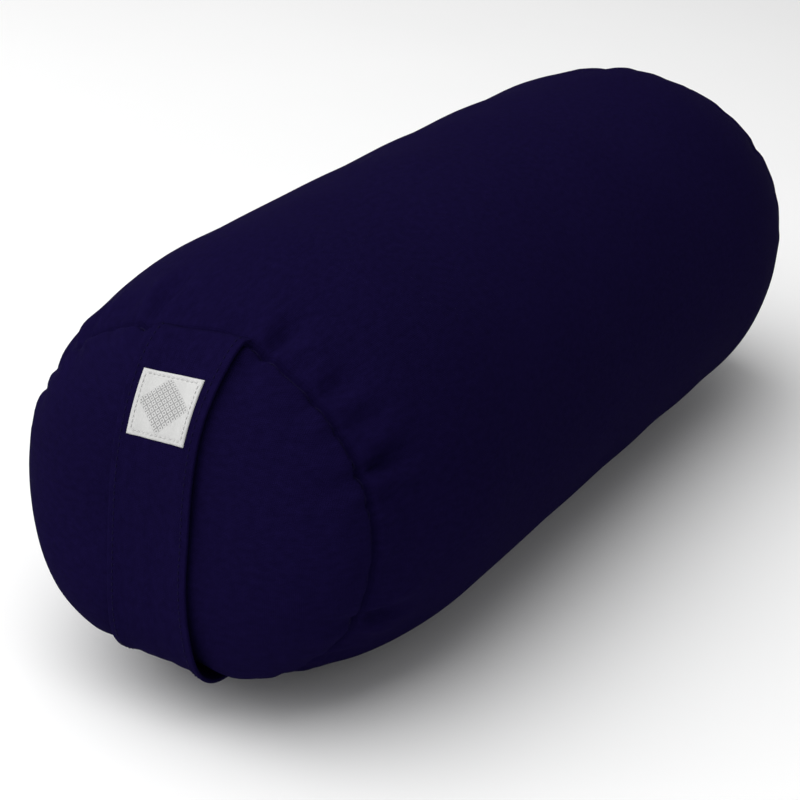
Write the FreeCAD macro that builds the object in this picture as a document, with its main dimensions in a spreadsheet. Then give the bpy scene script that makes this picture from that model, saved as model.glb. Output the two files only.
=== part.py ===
"""Bolster pillow: a round cushion with a zipped canvas cover, a carry strap and a filled inner liner.

Millimetres. +X runs along the cushion from the carry strap to the plain end, +Z is up.
The origin is the middle of the flat face that the cushion rests on.
"""
import FreeCAD, Part
import Sketcher
import math
import os
import re

# name, value in millimetres (degrees for an angle, nothing for a ratio)
SIZES = [
    # the filled cushion
    ("half_width", 114.0),  # from the middle to the side, along Y
    ("half_height", 106.5),  # from the middle to the top, along Z
    ("centre_height", 100.5),  # middle of the cushion above the floor: its weight flattens the underside
    ("barrel_length", 337.0),  # straight middle stretch
    ("shoulder_length", 92.6),  # rounded stretch from the barrel to an end seam
    ("seam_ratio", 0.82),  # section at an end seam, compared with the barrel's section
    ("crown", 38.8),  # how far an end panel bulges out past its seam
    ("shift", 2.05),  # moves the cushion so that cushion and strap together are centred on X
    # layers
    ("cloth", 1.0),  # canvas of the cover
    ("clearance", 0.2),  # between a layer of cloth and a tape or thread that lies along it
    ("tape_cloth", 0.6),  # woven tape of the zip
    ("liner_inset", 4.0),  # outside of the cover to outside of the liner
    ("liner_floor", 1.3),  # height of the liner's resting face
    ("liner_cloth", 0.5),  # cotton of the liner
    ("play", 0.2),  # between the liner and its filling
    ("thread", 0.35),  # how far a row of topstitching stands proud
    ("stitch_line", 0.6),  # width of a row of stitching
    ("seam_cord", 1.2),  # width and depth of the thread that closes a seam on the inside
    # carry strap across one end
    ("strap_width", 45.0),
    ("strap_thickness", 2.6),
    ("strap_gap", 1.5),  # from the end panel to the strap, at the middle of the strap
    ("strap_end_gap", 0.5),  # the same at the strap's two ends
    ("strap_hem", 3.5),  # from the strap's edge to its row of stitching
    ("label_side", 31.5),  # width of the square label
    ("label_low", 44.5),  # lower edge of the label above the middle of the cushion
    ("label_high", 73.0),  # upper edge of the label above the middle of the cushion
    ("label_gap", 0.05),  # between the strap and the label
    ("label_cloth", 0.8),  # thickness of the folded label
    ("label_hem", 1.8),  # from the label's edge to its stitching
    # zip along one side
    ("zip_tilt", 26.5),  # angle of the zip's outward normal above the horizontal
    ("chain_length", 320.0),
    ("slot_width", 8.0),  # gap between the folded edges of the cover
    ("slot_spare", 5.0),  # slot beyond each end of the chain
    ("tape_width", 13.0),
    ("tape_split", 3.2),  # gap between the two tapes
    ("tape_spare", 16.0),  # tape beyond each end of the chain
    ("coil_width", 2.4),
    ("coil_height", 1.7),
    ("coil_split", 1.6),  # gap between the two rows, where the slider's wedge runs
    ("coil_sunk", 1.15),  # underside of the coil below the cover's outer face
    ("stop_length", 3.0),
    ("zip_hem", 6.2),  # from the middle of the zip to the topstitching
    # slider and pull
    ("slider_length", 9.0),
    ("slider_width", 7.0),
    ("plate", 0.9),  # thickness of the slider's two plates
    ("plate_low", 3.0),  # underside of the lower plate below the cover's outer face
    ("plate_high", 0.8),  # underside of the upper plate above the cover's outer face
    ("wedge_length", 3.0),
    ("wedge_width", 1.0),
    ("slider_rest", 152.0),  # middle of the slider when the zip is closed
    ("lug_width", 0.8),
    ("lug_length", 2.4),
    ("lug_inside", 1.1),  # from the middle of the slider to a lug's inner face
    ("pin_height", 3.0),  # axis of the pull's pin above the cover's outer face
    ("pin_radius", 0.5),
    ("eye_clearance", 0.08),
    ("eye_radius", 1.15),
    ("eye_width", 2.0),
    ("neck_length", 3.2),
    ("pull_length", 20.0),
    ("pull_width", 5.4),
    ("pull_thickness", 1.0),
]

doc = FreeCAD.newDocument("bolster_pillow")
sheet = doc.addObject("Spreadsheet::Sheet", "Sizes")
for row, (alias, value) in enumerate(SIZES, start=1):
    sheet.set(f"A{row}", str(value))
    sheet.setAlias(f"A{row}", alias)
doc.recompute()

ALIAS = re.compile(r"\b(" + "|".join(alias for alias, value in SIZES) + r")\b")
ALONG_X = FreeCAD.Rotation(FreeCAD.Vector(0, 1, 0), FreeCAD.Vector(0, 0, 1), FreeCAD.Vector(1, 0, 0), "ZXY")
ALONG_Y = FreeCAD.Rotation(FreeCAD.Vector(0, 0, 1), FreeCAD.Vector(1, 0, 0), FreeCAD.Vector(0, 1, 0), "ZXY")
SEAM_X = "(barrel_length / 2 + shoulder_length)"
ROOM = 400.0  # larger than any section of the cushion: a cutting box reaches past it all round
FLAT = 30.0  # depth of a cutting box in the zip's frame, more than any layer there
sub_parts = []


def bind(thing, prop, formula):
    """Bind a property to a formula of the sheet's names."""
    thing.setExpression(prop, ALIAS.sub(r"Sizes.\1", formula))


def name_part(thing, label):
    """Mark an object as a finished sub-part: its label names its file."""
    thing.Label = label
    sub_parts.append(thing)
    return thing


def place(thing, x, y, z, rotation=None):
    """Put an object at a bound position, turned by a fixed rotation."""
    if rotation:
        thing.Placement = FreeCAD.Placement(FreeCAD.Vector(), rotation)
    bind(thing, "Placement.Base.x", x)
    bind(thing, "Placement.Base.y", y)
    bind(thing, "Placement.Base.z", z)


def box(name, x, length, y, width, z, height):
    """A box from its lowest corner and its three sides."""
    solid = doc.addObject("Part::Box", name)
    bind(solid, "Length", length)
    bind(solid, "Width", width)
    bind(solid, "Height", height)
    place(solid, x, y, z)
    return solid


def cut(name, base, tool):
    solid = doc.addObject("Part::Cut", name)
    solid.Base = base
    solid.Tool = tool
    return solid


def common(name, base, tool):
    solid = doc.addObject("Part::Common", name)
    solid.Base = base
    solid.Tool = tool
    return solid


def join(name, pieces):
    solid = doc.addObject("Part::MultiFuse", name)
    solid.Shapes = pieces
    return solid


def ellipse_bar(name, major, minor, rotation, x, y, z, length):
    """A bar of elliptical section. The rotation sends the ellipse's normal along the bar."""
    outline = doc.addObject("Part::Ellipse", name + "_outline")
    bind(outline, "MajorRadius", major)
    bind(outline, "MinorRadius", minor)
    place(outline, x, y, z, rotation)
    bar = doc.addObject("Part::Extrusion", name)
    bar.Base = outline
    bar.DirMode = "Custom"
    bar.Dir = rotation.multVec(FreeCAD.Vector(0, 0, 1))
    bar.Solid = True
    bind(bar, "LengthFwd", length)
    return bar


def slab(name, x, length):
    """Everything between two planes across the cushion."""
    return box(name, x, length, f"-{ROOM} / 2", f"{ROOM}", f"-{ROOM} / 4", f"{ROOM}")


def outline_half(reach, radius, shoulder_turn):
    """The cushion's outline on one side of its axis, as edges from apex to apex."""
    middle = sheet.barrel_length / 2
    seam = middle + sheet.shoulder_length
    shoulder_reach = sheet.shoulder_length / math.sin(shoulder_turn)
    edges = [Part.LineSegment(FreeCAD.Vector(-middle, radius, 0), FreeCAD.Vector(middle, radius, 0))]
    for side in (-1, 1):
        centre = FreeCAD.Vector(side * middle, 0, 0)
        shoulder = Part.Ellipse(FreeCAD.Vector(side * (middle + shoulder_reach), 0, 0),
                                FreeCAD.Vector(side * middle, radius, 0), centre)
        edges.append(Part.ArcOfEllipse(shoulder, math.pi / 2 - shoulder_turn, math.pi / 2))
        centre = FreeCAD.Vector(side * seam, 0, 0)
        dome = Part.Ellipse(FreeCAD.Vector(side * seam, sheet.seam_ratio * radius, 0),
                            FreeCAD.Vector(side * (seam + reach), 0, 0), centre)
        edges.append(Part.ArcOfEllipse(dome, 0, math.pi / 2))
    edges.append(Part.LineSegment(FreeCAD.Vector(-seam - reach, 0, 0), FreeCAD.Vector(seam + reach, 0, 0)))
    return [edge.toShape() for edge in edges]


def cushion(name, inset, floor):
    """The cushion's closed solid, drawn in all round by inset and cut flat at the height floor.

    It is turned from the outline and then pressed to its elliptical section, which no primitive
    gives, so its round form is a plain feature that reads the sheet.
    """
    radius = sheet.half_width - inset
    edges = outline_half(sheet.crown - inset, radius, math.acos(sheet.seam_ratio))
    turned = Part.Face(Part.Wire(Part.__sortEdges__(edges))).revolve(FreeCAD.Vector(), FreeCAD.Vector(1, 0, 0), 360)
    press = FreeCAD.Matrix()
    press.scale(1, 1, (sheet.half_height - inset) / radius)
    form = doc.addObject("Part::Feature", name + "_round")
    form.Shape = turned.transformGeometry(press)
    place(form, "shift", "0", "centre_height")
    above = box(name + "_above", f"-{ROOM}", f"2 * {ROOM}", f"-{ROOM} / 2", f"{ROOM}", f"{floor}", f"{ROOM}")
    return common(name, form, above)


def layer(name, outer_inset, inner_inset, outer_floor, inner_floor):
    """A closed shell of cloth between two cushion forms, one wholly inside the other."""
    outside = cushion(name + "_outside", outer_inset, outer_floor)
    inside = cushion(name + "_inside", inner_inset, inner_floor)
    doc.recompute()
    skins = [outside.Shape.Solids[0].Shells[0], inside.Shape.Solids[0].Shells[0].reversed()]
    shell = doc.addObject("Part::Feature", name)
    shell.Shape = Part.makeSolid(Part.Compound(skins))
    return shell


def zip_box(name, x, length, across, width, up, height):
    """A box in the zip's frame: x along the zip, across down the cushion's side, up out of the cover."""
    solid = doc.addObject("Part::Box", name)
    bind(solid, "Length", length)
    bind(solid, "Width", width)
    bind(solid, "Height", height)
    place_on_zip(solid, x, across, up)
    return solid


def place_on_zip(thing, x, across, up):
    """Put an object in the zip's frame, which stands on the barrel where its normal has the zip's tilt."""
    size = "sqrt((half_width * cos(zip_tilt)) ^ 2 + (half_height * sin(zip_tilt)) ^ 2)"
    thing.Placement = FreeCAD.Placement(FreeCAD.Vector(), FreeCAD.Rotation(FreeCAD.Vector(1, 0, 0), 1))
    bind(thing, "Placement.Rotation.Angle", "zip_tilt - 90")
    bind(thing, "Placement.Base.x", f"shift + {x}")
    bind(thing, "Placement.Base.y", f"half_width ^ 2 * cos(zip_tilt) / {size}"
         f" + ({across}) * sin(zip_tilt) + ({up}) * cos(zip_tilt)")
    bind(thing, "Placement.Base.z", f"centre_height + half_height ^ 2 * sin(zip_tilt) / {size}"
         f" - ({across}) * cos(zip_tilt) + ({up}) * sin(zip_tilt)")


def strap_band(name, low, high, y, width):
    """A band that arches over the handle end, between two heights above the strap's inner face."""
    bars = []
    for side, height in (("inner", low), ("outer", high)):
        major = f"seam_ratio * half_height + strap_end_gap + {height}"
        minor = f"crown + strap_gap + {height}"
        bars.append(ellipse_bar(f"{name}_{side}", major, minor, ALONG_Y, f"shift - {SEAM_X}", y,
                                "centre_height", width))
    arch = cut(name + "_arch", bars[1], bars[0])
    beyond = slab(name + "_slab", f"shift - {SEAM_X} - {ROOM} - strap_end_gap", f"{ROOM}")
    return common(name, arch, beyond)


def sketch_on(body, name, plane_role):
    """A new sketch on one of the body's own origin planes."""
    plane = [item for item in body.Origin.OriginFeatures if item.Role == plane_role][0]
    sketch = body.newObject("Sketcher::SketchObject", name)
    sketch.AttachmentSupport = (plane, [""])
    sketch.MapMode = "FlatFace"
    return sketch


def pad_rectangle(body, name, length, width, height, x="0", y="0", z="0"):
    """Pad a rectangle, centred on x and y of the body's frame, upwards from the height z."""
    sketch = sketch_on(body, name + "_sketch", "XY_Plane")
    bind(sketch, "AttachmentOffset.Base.x", x)
    bind(sketch, "AttachmentOffset.Base.y", y)
    bind(sketch, "AttachmentOffset.Base.z", z)
    corners = [FreeCAD.Vector(a, b, 0) for a, b in ((-1, -1), (1, -1), (1, 1), (-1, 1))]
    for i in range(4):
        sketch.addGeometry(Part.LineSegment(corners[i], corners[(i + 1) % 4]), False)
    for i in range(4):
        sketch.addConstraint(Sketcher.Constraint("Coincident", i, 2, (i + 1) % 4, 1))
        sketch.addConstraint(Sketcher.Constraint("Vertical" if i % 2 else "Horizontal", i))
    sketch.addConstraint(Sketcher.Constraint("Symmetric", 0, 1, 2, 1, -1, 1))
    long_side = sketch.addConstraint(Sketcher.Constraint("DistanceX", 0, 1, 0, 2, 2.0))
    bind(sketch, f"Constraints[{long_side}]", length)
    short_side = sketch.addConstraint(Sketcher.Constraint("DistanceY", 1, 1, 1, 2, 2.0))
    bind(sketch, f"Constraints[{short_side}]", width)
    pad = body.newObject("PartDesign::Pad", name)
    pad.Profile = sketch
    bind(pad, "Length", height)
    return pad


def round_feature(body, kind, name, radius, length, z="0"):
    """A round Pad or Pocket about an axis along the body's Y, the same length to each side of the middle."""
    sketch = sketch_on(body, name + "_sketch", "XZ_Plane")
    bind(sketch, "AttachmentOffset.Base.y", z)
    sketch.addGeometry(Part.Circle(FreeCAD.Vector(), FreeCAD.Vector(0, 0, 1), 1.0), False)
    sketch.addConstraint(Sketcher.Constraint("Coincident", 0, 3, -1, 1))
    rim = sketch.addConstraint(Sketcher.Constraint("Radius", 0, 1.0))
    bind(sketch, f"Constraints[{rim}]", radius)
    feature = body.newObject(kind, name)
    feature.Profile = sketch
    feature.Midplane = True
    bind(feature, "Length", length)
    return feature


def seam_ring(name, x, inset, depth):
    """A cord that runs right round the cushion at an end seam, inset below the outer face."""
    rings = []
    for side, level in (("outer", inset), ("inner", f"{inset} + {depth}")):
        rings.append(ellipse_bar(f"{name}_{side}", f"seam_ratio * (half_width - ({level}))",
                                 f"seam_ratio * (half_height - ({level}))", ALONG_X, x, "0",
                                 "centre_height", depth))
    return cut(name, rings[0], rings[1])


def make_cover():
    """The canvas cover: a tube with a slot for the zip, and a domed panel sewn in at each end."""
    shell = layer("cover", 0, sheet.cloth, 0, sheet.cloth)
    tube = common("cover_tube", shell, slab("cover_tube_slab", f"shift - {SEAM_X}", f"2 * {SEAM_X}"))
    slot = zip_box("zip_slot", "-(chain_length / 2 + slot_spare)", "chain_length + 2 * slot_spare",
                   "-slot_width / 2", "slot_width", f"-{FLAT} / 2", f"{FLAT}")
    name_part(cut("body_panel_solid", tube, slot), "body_panel")
    handle_side = slab("handle_end_slab", f"shift - {SEAM_X} - {ROOM}", f"{ROOM}")
    name_part(common("handle_end_solid", shell, handle_side), "handle_end_panel")
    plain_side = slab("plain_end_slab", f"shift + {SEAM_X}", f"{ROOM}")
    name_part(common("plain_end_solid", shell, plain_side), "plain_end_panel")
    for end, sign in (("handle", "-"), ("plain", "+")):
        ring = seam_ring(f"{end}_thread", f"shift {sign} {SEAM_X} - seam_cord / 2", "cloth + clearance", "seam_cord")
        name_part(ring, f"{end}_end_seam_thread")


def make_zip():
    """The zip: two tapes under the cover, two rows of coil in the slot, stops, and its topstitching."""
    face = sheet.cloth + sheet.clearance
    back = face + sheet.tape_cloth
    tape = layer("tape_layer", face, back, face, back)
    half_tape = "(chain_length / 2 + tape_spare)"
    coil_edge = "(coil_split / 2 + coil_width)"
    stops = []
    for row, tape_start, coil_start in (
        ("upper", "-(tape_split / 2 + tape_width)", f"-{coil_edge}"),
        ("lower", "tape_split / 2", "coil_split / 2"),
    ):
        strip = zip_box(f"tape_{row}_box", f"-{half_tape}", f"2 * {half_tape}", tape_start, "tape_width",
                        f"-{FLAT} / 2", f"{FLAT}")
        name_part(common(f"tape_{row}", tape, strip), f"zipper_tape_{row}")
        coil = zip_box(f"coil_{row}", "-chain_length / 2", "chain_length", coil_start, "coil_width",
                       "-coil_sunk", "coil_height")
        name_part(coil, f"zipper_coil_{row}")
        stops.append(zip_box(f"top_stop_{row}", "chain_length / 2", "stop_length", coil_start, "coil_width",
                             "-coil_sunk", "coil_height + clearance"))
    name_part(join("top_stops", stops), "zipper_top_stops")
    bottom_stop = zip_box("bottom_stop", "-(chain_length / 2 + stop_length)", "stop_length", f"-{coil_edge}",
                          f"2 * {coil_edge}", "-coil_sunk", "coil_height + clearance")
    name_part(bottom_stop, "zipper_bottom_stop")

    lengthwise = []
    start = f"({half_tape} + stop_length)"
    for end, corner in (("handle", f"-({SEAM_X} - stop_length)"), ("plain", start)):
        strip = zip_box(f"lengthwise_{end}_box", corner, f"{SEAM_X} - stop_length - {start}", "-seam_cord / 2",
                        "seam_cord", f"-{FLAT}", f"2 * {FLAT}")
        lengthwise.append(common(f"lengthwise_{end}", tape, strip))
    name_part(join("lengthwise_rows", lengthwise), "lengthwise_seam_thread")

    proud = layer("stitch_layer", -sheet.thread, 0, 0, sheet.thread)
    half_length = "(chain_length / 2 + slot_spare + stop_length)"
    frame = []
    for side, across in (("upper", "-zip_hem - stitch_line"), ("lower", "zip_hem")):
        frame.append(zip_box(f"stitch_{side}", f"-{half_length}", f"2 * {half_length}", across, "stitch_line",
                             f"-{FLAT} / 2", f"{FLAT}"))
    for side, x in (("handle", f"-{half_length}"), ("plain", f"{half_length} - stitch_line")):
        frame.append(zip_box(f"stitch_{side}", x, "stitch_line", "-zip_hem", "2 * zip_hem", f"-{FLAT} / 2", f"{FLAT}"))
    name_part(common("stitch_rows", proud, join("stitch_frame", frame)), "zipper_topstitching")


def make_slider():
    """The slider: two plates joined by a wedge at the front, with two lugs and a pin on top."""
    slider = doc.addObject("PartDesign::Body", "slider")
    pad_rectangle(slider, "lower_plate", "slider_length", "slider_width", "plate", z="-plate_low")
    pad_rectangle(slider, "wedge", "wedge_length", "wedge_width", "plate_low + plate_high",
                  x="(slider_length - wedge_length) / 2", z="-plate_low")
    pad_rectangle(slider, "upper_plate", "slider_length", "slider_width", "plate", z="plate_high")
    for side, sign in (("lower", "1"), ("upper", "-1")):
        pad_rectangle(slider, f"{side}_lug", "lug_length", "lug_width", "pin_height + 2 * pin_radius - plate_high",
                      y=f"{sign} * (lug_inside + lug_width / 2)", z="plate_high")
    round_feature(slider, "PartDesign::Pad", "pin", "pin_radius", "2 * lug_inside + lug_width", z="pin_height")
    place_on_zip(slider, "slider_rest", "0", "0")
    name_part(slider, "zipper_slider")


def make_pull():
    """The pull: an eye round the slider's pin, a neck between the lugs and a flat tab."""
    pull = doc.addObject("PartDesign::Body", "pull")
    round_feature(pull, "PartDesign::Pad", "eye", "eye_radius", "eye_width")
    pad_rectangle(pull, "neck", "neck_length", "eye_width", "pull_thickness", x="-neck_length / 2",
                  z="-pull_thickness / 2")
    pad_rectangle(pull, "tab", "pull_length - neck_length", "pull_width", "pull_thickness",
                  x="-(pull_length + neck_length) / 2", z="-pull_thickness / 2")
    round_feature(pull, "PartDesign::Pocket", "eye_hole", "pin_radius + eye_clearance", "2 * eye_width")
    place_on_zip(pull, "slider_rest", "0", "pin_height")
    name_part(pull, "zipper_pull")


def make_strap():
    """The carry strap over the handle end, its two rows of stitching, and the label sewn on it."""
    strap = strap_band("strap", "0", "strap_thickness", "-strap_width / 2", "strap_width")
    name_part(strap, "handle_strap")
    rows = []
    for side, y in (("left", "strap_width / 2 - strap_hem"), ("right", "strap_hem - strap_width / 2")):
        rows.append(strap_band(f"strap_row_{side}", "strap_thickness", "strap_thickness + thread",
                               f"{y} - stitch_line / 2", "stitch_line"))
    name_part(join("strap_rows", rows), "handle_edge_stitching")

    label_face = "(strap_thickness + label_gap + label_cloth)"
    band = strap_band("label_band", "strap_thickness + label_gap", label_face, "-label_side / 2", "label_side")
    reach = box("label_reach", f"-{ROOM}", f"{ROOM}", "-label_side", "2 * label_side",
                "centre_height + label_low", "label_high - label_low")
    name_part(common("label", band, reach), "label_patch")

    lines = []
    inside = "(label_side - 2 * label_hem)"
    for side, y in (("left", f"{inside} / 2 - stitch_line"), ("right", f"-{inside} / 2")):
        row = strap_band(f"label_row_{side}", label_face, f"{label_face} + thread", y, "stitch_line")
        span = box(f"label_span_{side}", f"-{ROOM}", f"{ROOM}", "-label_side", "2 * label_side",
                   "centre_height + label_low + label_hem", "label_high - label_low - 2 * label_hem")
        lines.append(common(f"label_line_{side}", row, span))
    across = strap_band("label_row_across", label_face, f"{label_face} + thread", f"-{inside} / 2", inside)
    for side, z in (("low", "label_low + label_hem"), ("high", "label_high - label_hem - stitch_line")):
        span = box(f"label_span_{side}", f"-{ROOM}", f"{ROOM}", "-label_side", "2 * label_side",
                   f"centre_height + {z}", "stitch_line")
        lines.append(common(f"label_line_{side}", across, span))
    name_part(join("label_lines", lines), "label_stitching")


def make_insert():
    """The filled insert: a cotton tube with two end discs, its seams, and the hulls packed inside."""
    inset = sheet.liner_inset + sheet.liner_cloth
    floor = sheet.liner_floor + sheet.liner_cloth
    shell = layer("liner", sheet.liner_inset, inset, sheet.liner_floor, floor)
    middle = slab("liner_tube_slab", f"shift - {SEAM_X}", f"2 * {SEAM_X}")
    name_part(common("liner_middle", shell, middle), "liner_tube")
    for end, x in (("handle", f"shift - {SEAM_X} - {ROOM}"), ("plain", f"shift + {SEAM_X}")):
        side = slab(f"liner_{end}_slab", x, f"{ROOM}")
        name_part(common(f"liner_{end}", shell, side), f"liner_{end}_end")
    threads = []
    for end, sign in (("handle", "-"), ("plain", "+")):
        threads.append(seam_ring(f"liner_{end}_thread", f"shift {sign} {SEAM_X} - stitch_line / 2",
                                 "liner_inset - 2 * clearance - stitch_line", "stitch_line"))
    threads.append(box("liner_closing_row", "shift - barrel_length / 3", "barrel_length * 2 / 3",
                       "-stitch_line / 2", "stitch_line",
                       "centre_height + half_height - liner_inset + clearance", "stitch_line"))
    name_part(join("liner_threads", threads), "liner_seam_threads")
    filling = cushion("filling", inset + sheet.play, floor + sheet.play)
    name_part(filling, "hull_filling")


def check_and_export():
    """Stop at the first failed object, then write each sub-part's shape."""
    for thing in doc.Objects:
        if "Invalid" in thing.State or "Error" in thing.State:
            raise RuntimeError(f"{thing.Label} failed: {thing.State}")
    for part in sub_parts:
        if part.Shape.isNull() or not part.Shape.isValid():
            raise RuntimeError(f"{part.Label} has no valid shape")
    os.makedirs("parts", exist_ok=True)
    for part in sub_parts:
        bounds = part.Shape.optimalBoundingBox()
        print(f"{part.Label:24s} {len(part.Shape.Solids)} solids {part.Shape.Volume:12.1f} mm3"
              f"  x {bounds.XMin:.1f}..{bounds.XMax:.1f} y {bounds.YMin:.1f}..{bounds.YMax:.1f}"
              f" z {bounds.ZMin:.1f}..{bounds.ZMax:.1f}")
        part.Shape.exportStep(f"parts/{part.Label}.step")


make_cover()
make_zip()
make_slider()
make_pull()
make_strap()
make_insert()
doc.recompute()
check_and_export()
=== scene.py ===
"""Bolster pillow: the cloth, strap, label and zip of a round cushion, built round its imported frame.

Metres. +X runs along the cushion from the carry strap to the plain end, +Z is up.
"""
import math
import bmesh
import bpy
import numpy as np
from mathutils import Matrix, Vector


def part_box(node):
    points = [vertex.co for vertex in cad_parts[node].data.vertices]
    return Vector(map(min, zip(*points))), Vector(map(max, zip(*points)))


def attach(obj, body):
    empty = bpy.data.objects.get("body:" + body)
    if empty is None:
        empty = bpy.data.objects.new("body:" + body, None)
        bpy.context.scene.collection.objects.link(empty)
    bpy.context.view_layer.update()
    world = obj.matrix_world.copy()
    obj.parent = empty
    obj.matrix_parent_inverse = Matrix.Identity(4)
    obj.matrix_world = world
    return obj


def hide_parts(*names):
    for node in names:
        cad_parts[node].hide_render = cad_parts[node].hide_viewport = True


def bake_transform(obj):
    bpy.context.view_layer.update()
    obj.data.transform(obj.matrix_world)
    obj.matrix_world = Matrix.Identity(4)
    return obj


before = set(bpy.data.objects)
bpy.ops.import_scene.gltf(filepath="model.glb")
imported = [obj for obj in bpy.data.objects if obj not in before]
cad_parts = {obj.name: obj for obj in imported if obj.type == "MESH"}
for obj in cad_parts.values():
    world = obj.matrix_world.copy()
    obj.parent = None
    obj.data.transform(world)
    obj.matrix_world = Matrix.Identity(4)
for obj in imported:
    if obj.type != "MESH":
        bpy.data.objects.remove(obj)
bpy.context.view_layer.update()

MM = 0.001

# ---------------------------------------------------------------- the cushion's form, from the frame
def x_range(node):
    """Where a CAD node begins and ends along X."""
    low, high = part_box(node)
    return low.x, high.x


PANEL_LOW, PANEL_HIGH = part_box("body_panel")
CAP_LOW, CAP_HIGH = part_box("handle_end_panel")
SEAM_X = {"handle": PANEL_LOW.x, "plain": PANEL_HIGH.x}
MIDDLE_X = (PANEL_LOW.x + PANEL_HIGH.x) / 2
CENTRE_Z = (CAP_LOW.z + CAP_HIGH.z) / 2
HALF_WIDTH = PANEL_HIGH.y
HALF_HEIGHT = PANEL_HIGH.z - CENTRE_Z
SEAM_RATIO = CAP_HIGH.y / HALF_WIDTH
CROWN = CAP_HIGH.x - CAP_LOW.x
SHOULDER = 92.6 * MM  # the length over which the barrel narrows towards a seam
HALF_BARREL = (PANEL_HIGH.x - PANEL_LOW.x) / 2 - SHOULDER
GIRTH_RADIUS = (HALF_WIDTH + HALF_HEIGHT) / 2
CONTACT_ROUNDING = 3.0 * MM  # how softly the cloth turns on to the floor
CONTACT_SETTLE = 0.1 * MM  # brings the rounded contact down to the floor

# ---------------------------------------------------------------- the zip's place, from the frame
CHAIN = x_range("zipper_coil_upper")
ZIP_TILT = math.radians(26.5)
ZIP_OUT = np.array([0.0, math.cos(ZIP_TILT), math.sin(ZIP_TILT)])
ZIP_DOWN = np.array([0.0, math.sin(ZIP_TILT), -math.cos(ZIP_TILT)])
ZIP_SPREAD = math.hypot(HALF_WIDTH * math.cos(ZIP_TILT), HALF_HEIGHT * math.sin(ZIP_TILT))
ZIP_Y = HALF_WIDTH ** 2 * math.cos(ZIP_TILT) / ZIP_SPREAD
ZIP_Z = CENTRE_Z + HALF_HEIGHT ** 2 * math.sin(ZIP_TILT) / ZIP_SPREAD
ZIP_TURN = math.acos(ZIP_Y / HALF_WIDTH)
ZIP_REACH = math.hypot(HALF_WIDTH * math.sin(ZIP_TURN), HALF_HEIGHT * math.cos(ZIP_TURN))  # metres per radian
SLOT_HALF = 4.0 * MM
SLOT_ENDS = (CHAIN[0] - 5.0 * MM, CHAIN[1] + 5.0 * MM)
ZIP_HEM = 6.2 * MM  # from the middle of the zip to the stitching beside it
TAPE_ENDS = x_range("zipper_tape_upper")
TAPE_MIDDLE, TAPE_HALF = sum(TAPE_ENDS) / 2, (TAPE_ENDS[1] - TAPE_ENDS[0]) / 2
TAPE_REACH = 14.0 * MM  # from the middle of the zip to a tape's far edge, which lies under the cloth
CALM_ACROSS, CALM_ALONG = 14 * MM, 12 * MM  # over which the puckers come back, beside and past the tapes
ZIP_STITCH_ENDS = x_range("zipper_topstitching")
SLIDER_X = sum(x_range("zipper_slider")) / 2
PIN_HEIGHT = 3.0 * MM  # of the pull's axis over the zip

# ---------------------------------------------------------------- the woven motif on the label
LATTICE_REACH = 12.6 * MM
LATTICE_PITCH = 3.2 * MM
LATTICE_LINE = 0.32 * MM

# ---------------------------------------------------------------- puckers round the end seams
# angle round the seam in degrees (0 is +Y, 90 is up), length along the body, half width, depth
HANDLE_PUCKERS = [
    (71, 52, 5.5, 4.2), (98, 20, 6.0, 1.2), (109, 40, 6.0, 3.4), (128, 38, 6.5, 2.4), (139, 40, 5.0, 1.5),
    (152, 48, 6.0, 3.8), (162, 20, 5.0, 1.8), (183, 26, 7.0, 1.2), (201, 55, 7.0, 3.6), (222, 30, 6.0, 1.8),
    (243, 34, 6.0, 2.6), (262, 26, 6.0, 1.6), (290, 30, 6.5, 2.2), (315, 34, 6.0, 2.6), (338, 40, 6.5, 3.0),
    (2, 32, 6.0, 2.2), (24, 44, 6.5, 3.2), (44, 48, 6.0, 3.8), (58, 24, 5.0, 1.6),
]
PLAIN_PUCKERS = [
    (12, 42, 6.5, 3.0), (33, 30, 6.0, 2.0), (58, 46, 6.5, 5.0), (77, 105, 6.0, 6.5), (97, 44, 6.0, 3.2),
    (118, 30, 6.0, 2.2), (138, 50, 6.5, 4.2), (160, 32, 6.0, 2.2), (181, 44, 6.5, 3.2), (204, 36, 6.0, 2.6),
    (226, 30, 6.0, 2.0), (252, 28, 6.0, 1.8), (284, 30, 6.0, 2.0), (306, 40, 6.0, 2.8), (329, 34, 6.5, 2.4),
    (350, 28, 6.0, 2.0),
]
PUCKER_GAIN = {"handle": 2.1, "plain": 0.8}  # every depth above is multiplied by this
PUCKER_NARROW, PUCKER_WIDEN = 0.42, 0.85  # a pucker's width at the seam, and what it gains to its far end
RIDGE_PLACE = 2.0  # where the ridges beside a valley lie, in half widths
RIDGE_SHARE = 0.42  # and their height, as a share of the valley's depth
END_BELLY = 8.0 * MM
SEAM_PULL = 6.0 * MM
SEAM_PULL_REACH = 22.0 * MM
PULL_DROP = 0.3  # how far the pulled seam sinks, as a share of how far it moves forwards
BARREL_SWELL = 3.0 * MM
BARREL_SWELL_X = 40.0 * MM
BARREL_SWELL_REACH = 190.0 * MM
STRAP_TUCK = 12.5 * MM
STRAP_TUCK_REACH = 20.0 * MM
CAP_REACH = 0.55  # a pucker's length on the end panel, compared with its length on the body
CAP_SHARE = 0.4  # and its depth
SEAM_DENT = 0.3  # its depth on the seam itself, which the cord holds out
SEAM_DEPTH = 3.1 * MM
SEAM_WIDTH = 1.9 * MM
SEAM_BLEND = 8.0 * MM  # within this distance of the seam the two panels' forms agree
LINER_INSET = 7.5 * MM  # from the cover's outer face to the insert's, clear of every valley
FILLING_INSET = 9.5 * MM
SHOULDER_LEAN = 0.17  # how far a shoulder's normal leans along X at the seam
SHOULDER_ARC = 1.06  # length along the cloth for each metre of X, beside a seam


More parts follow.
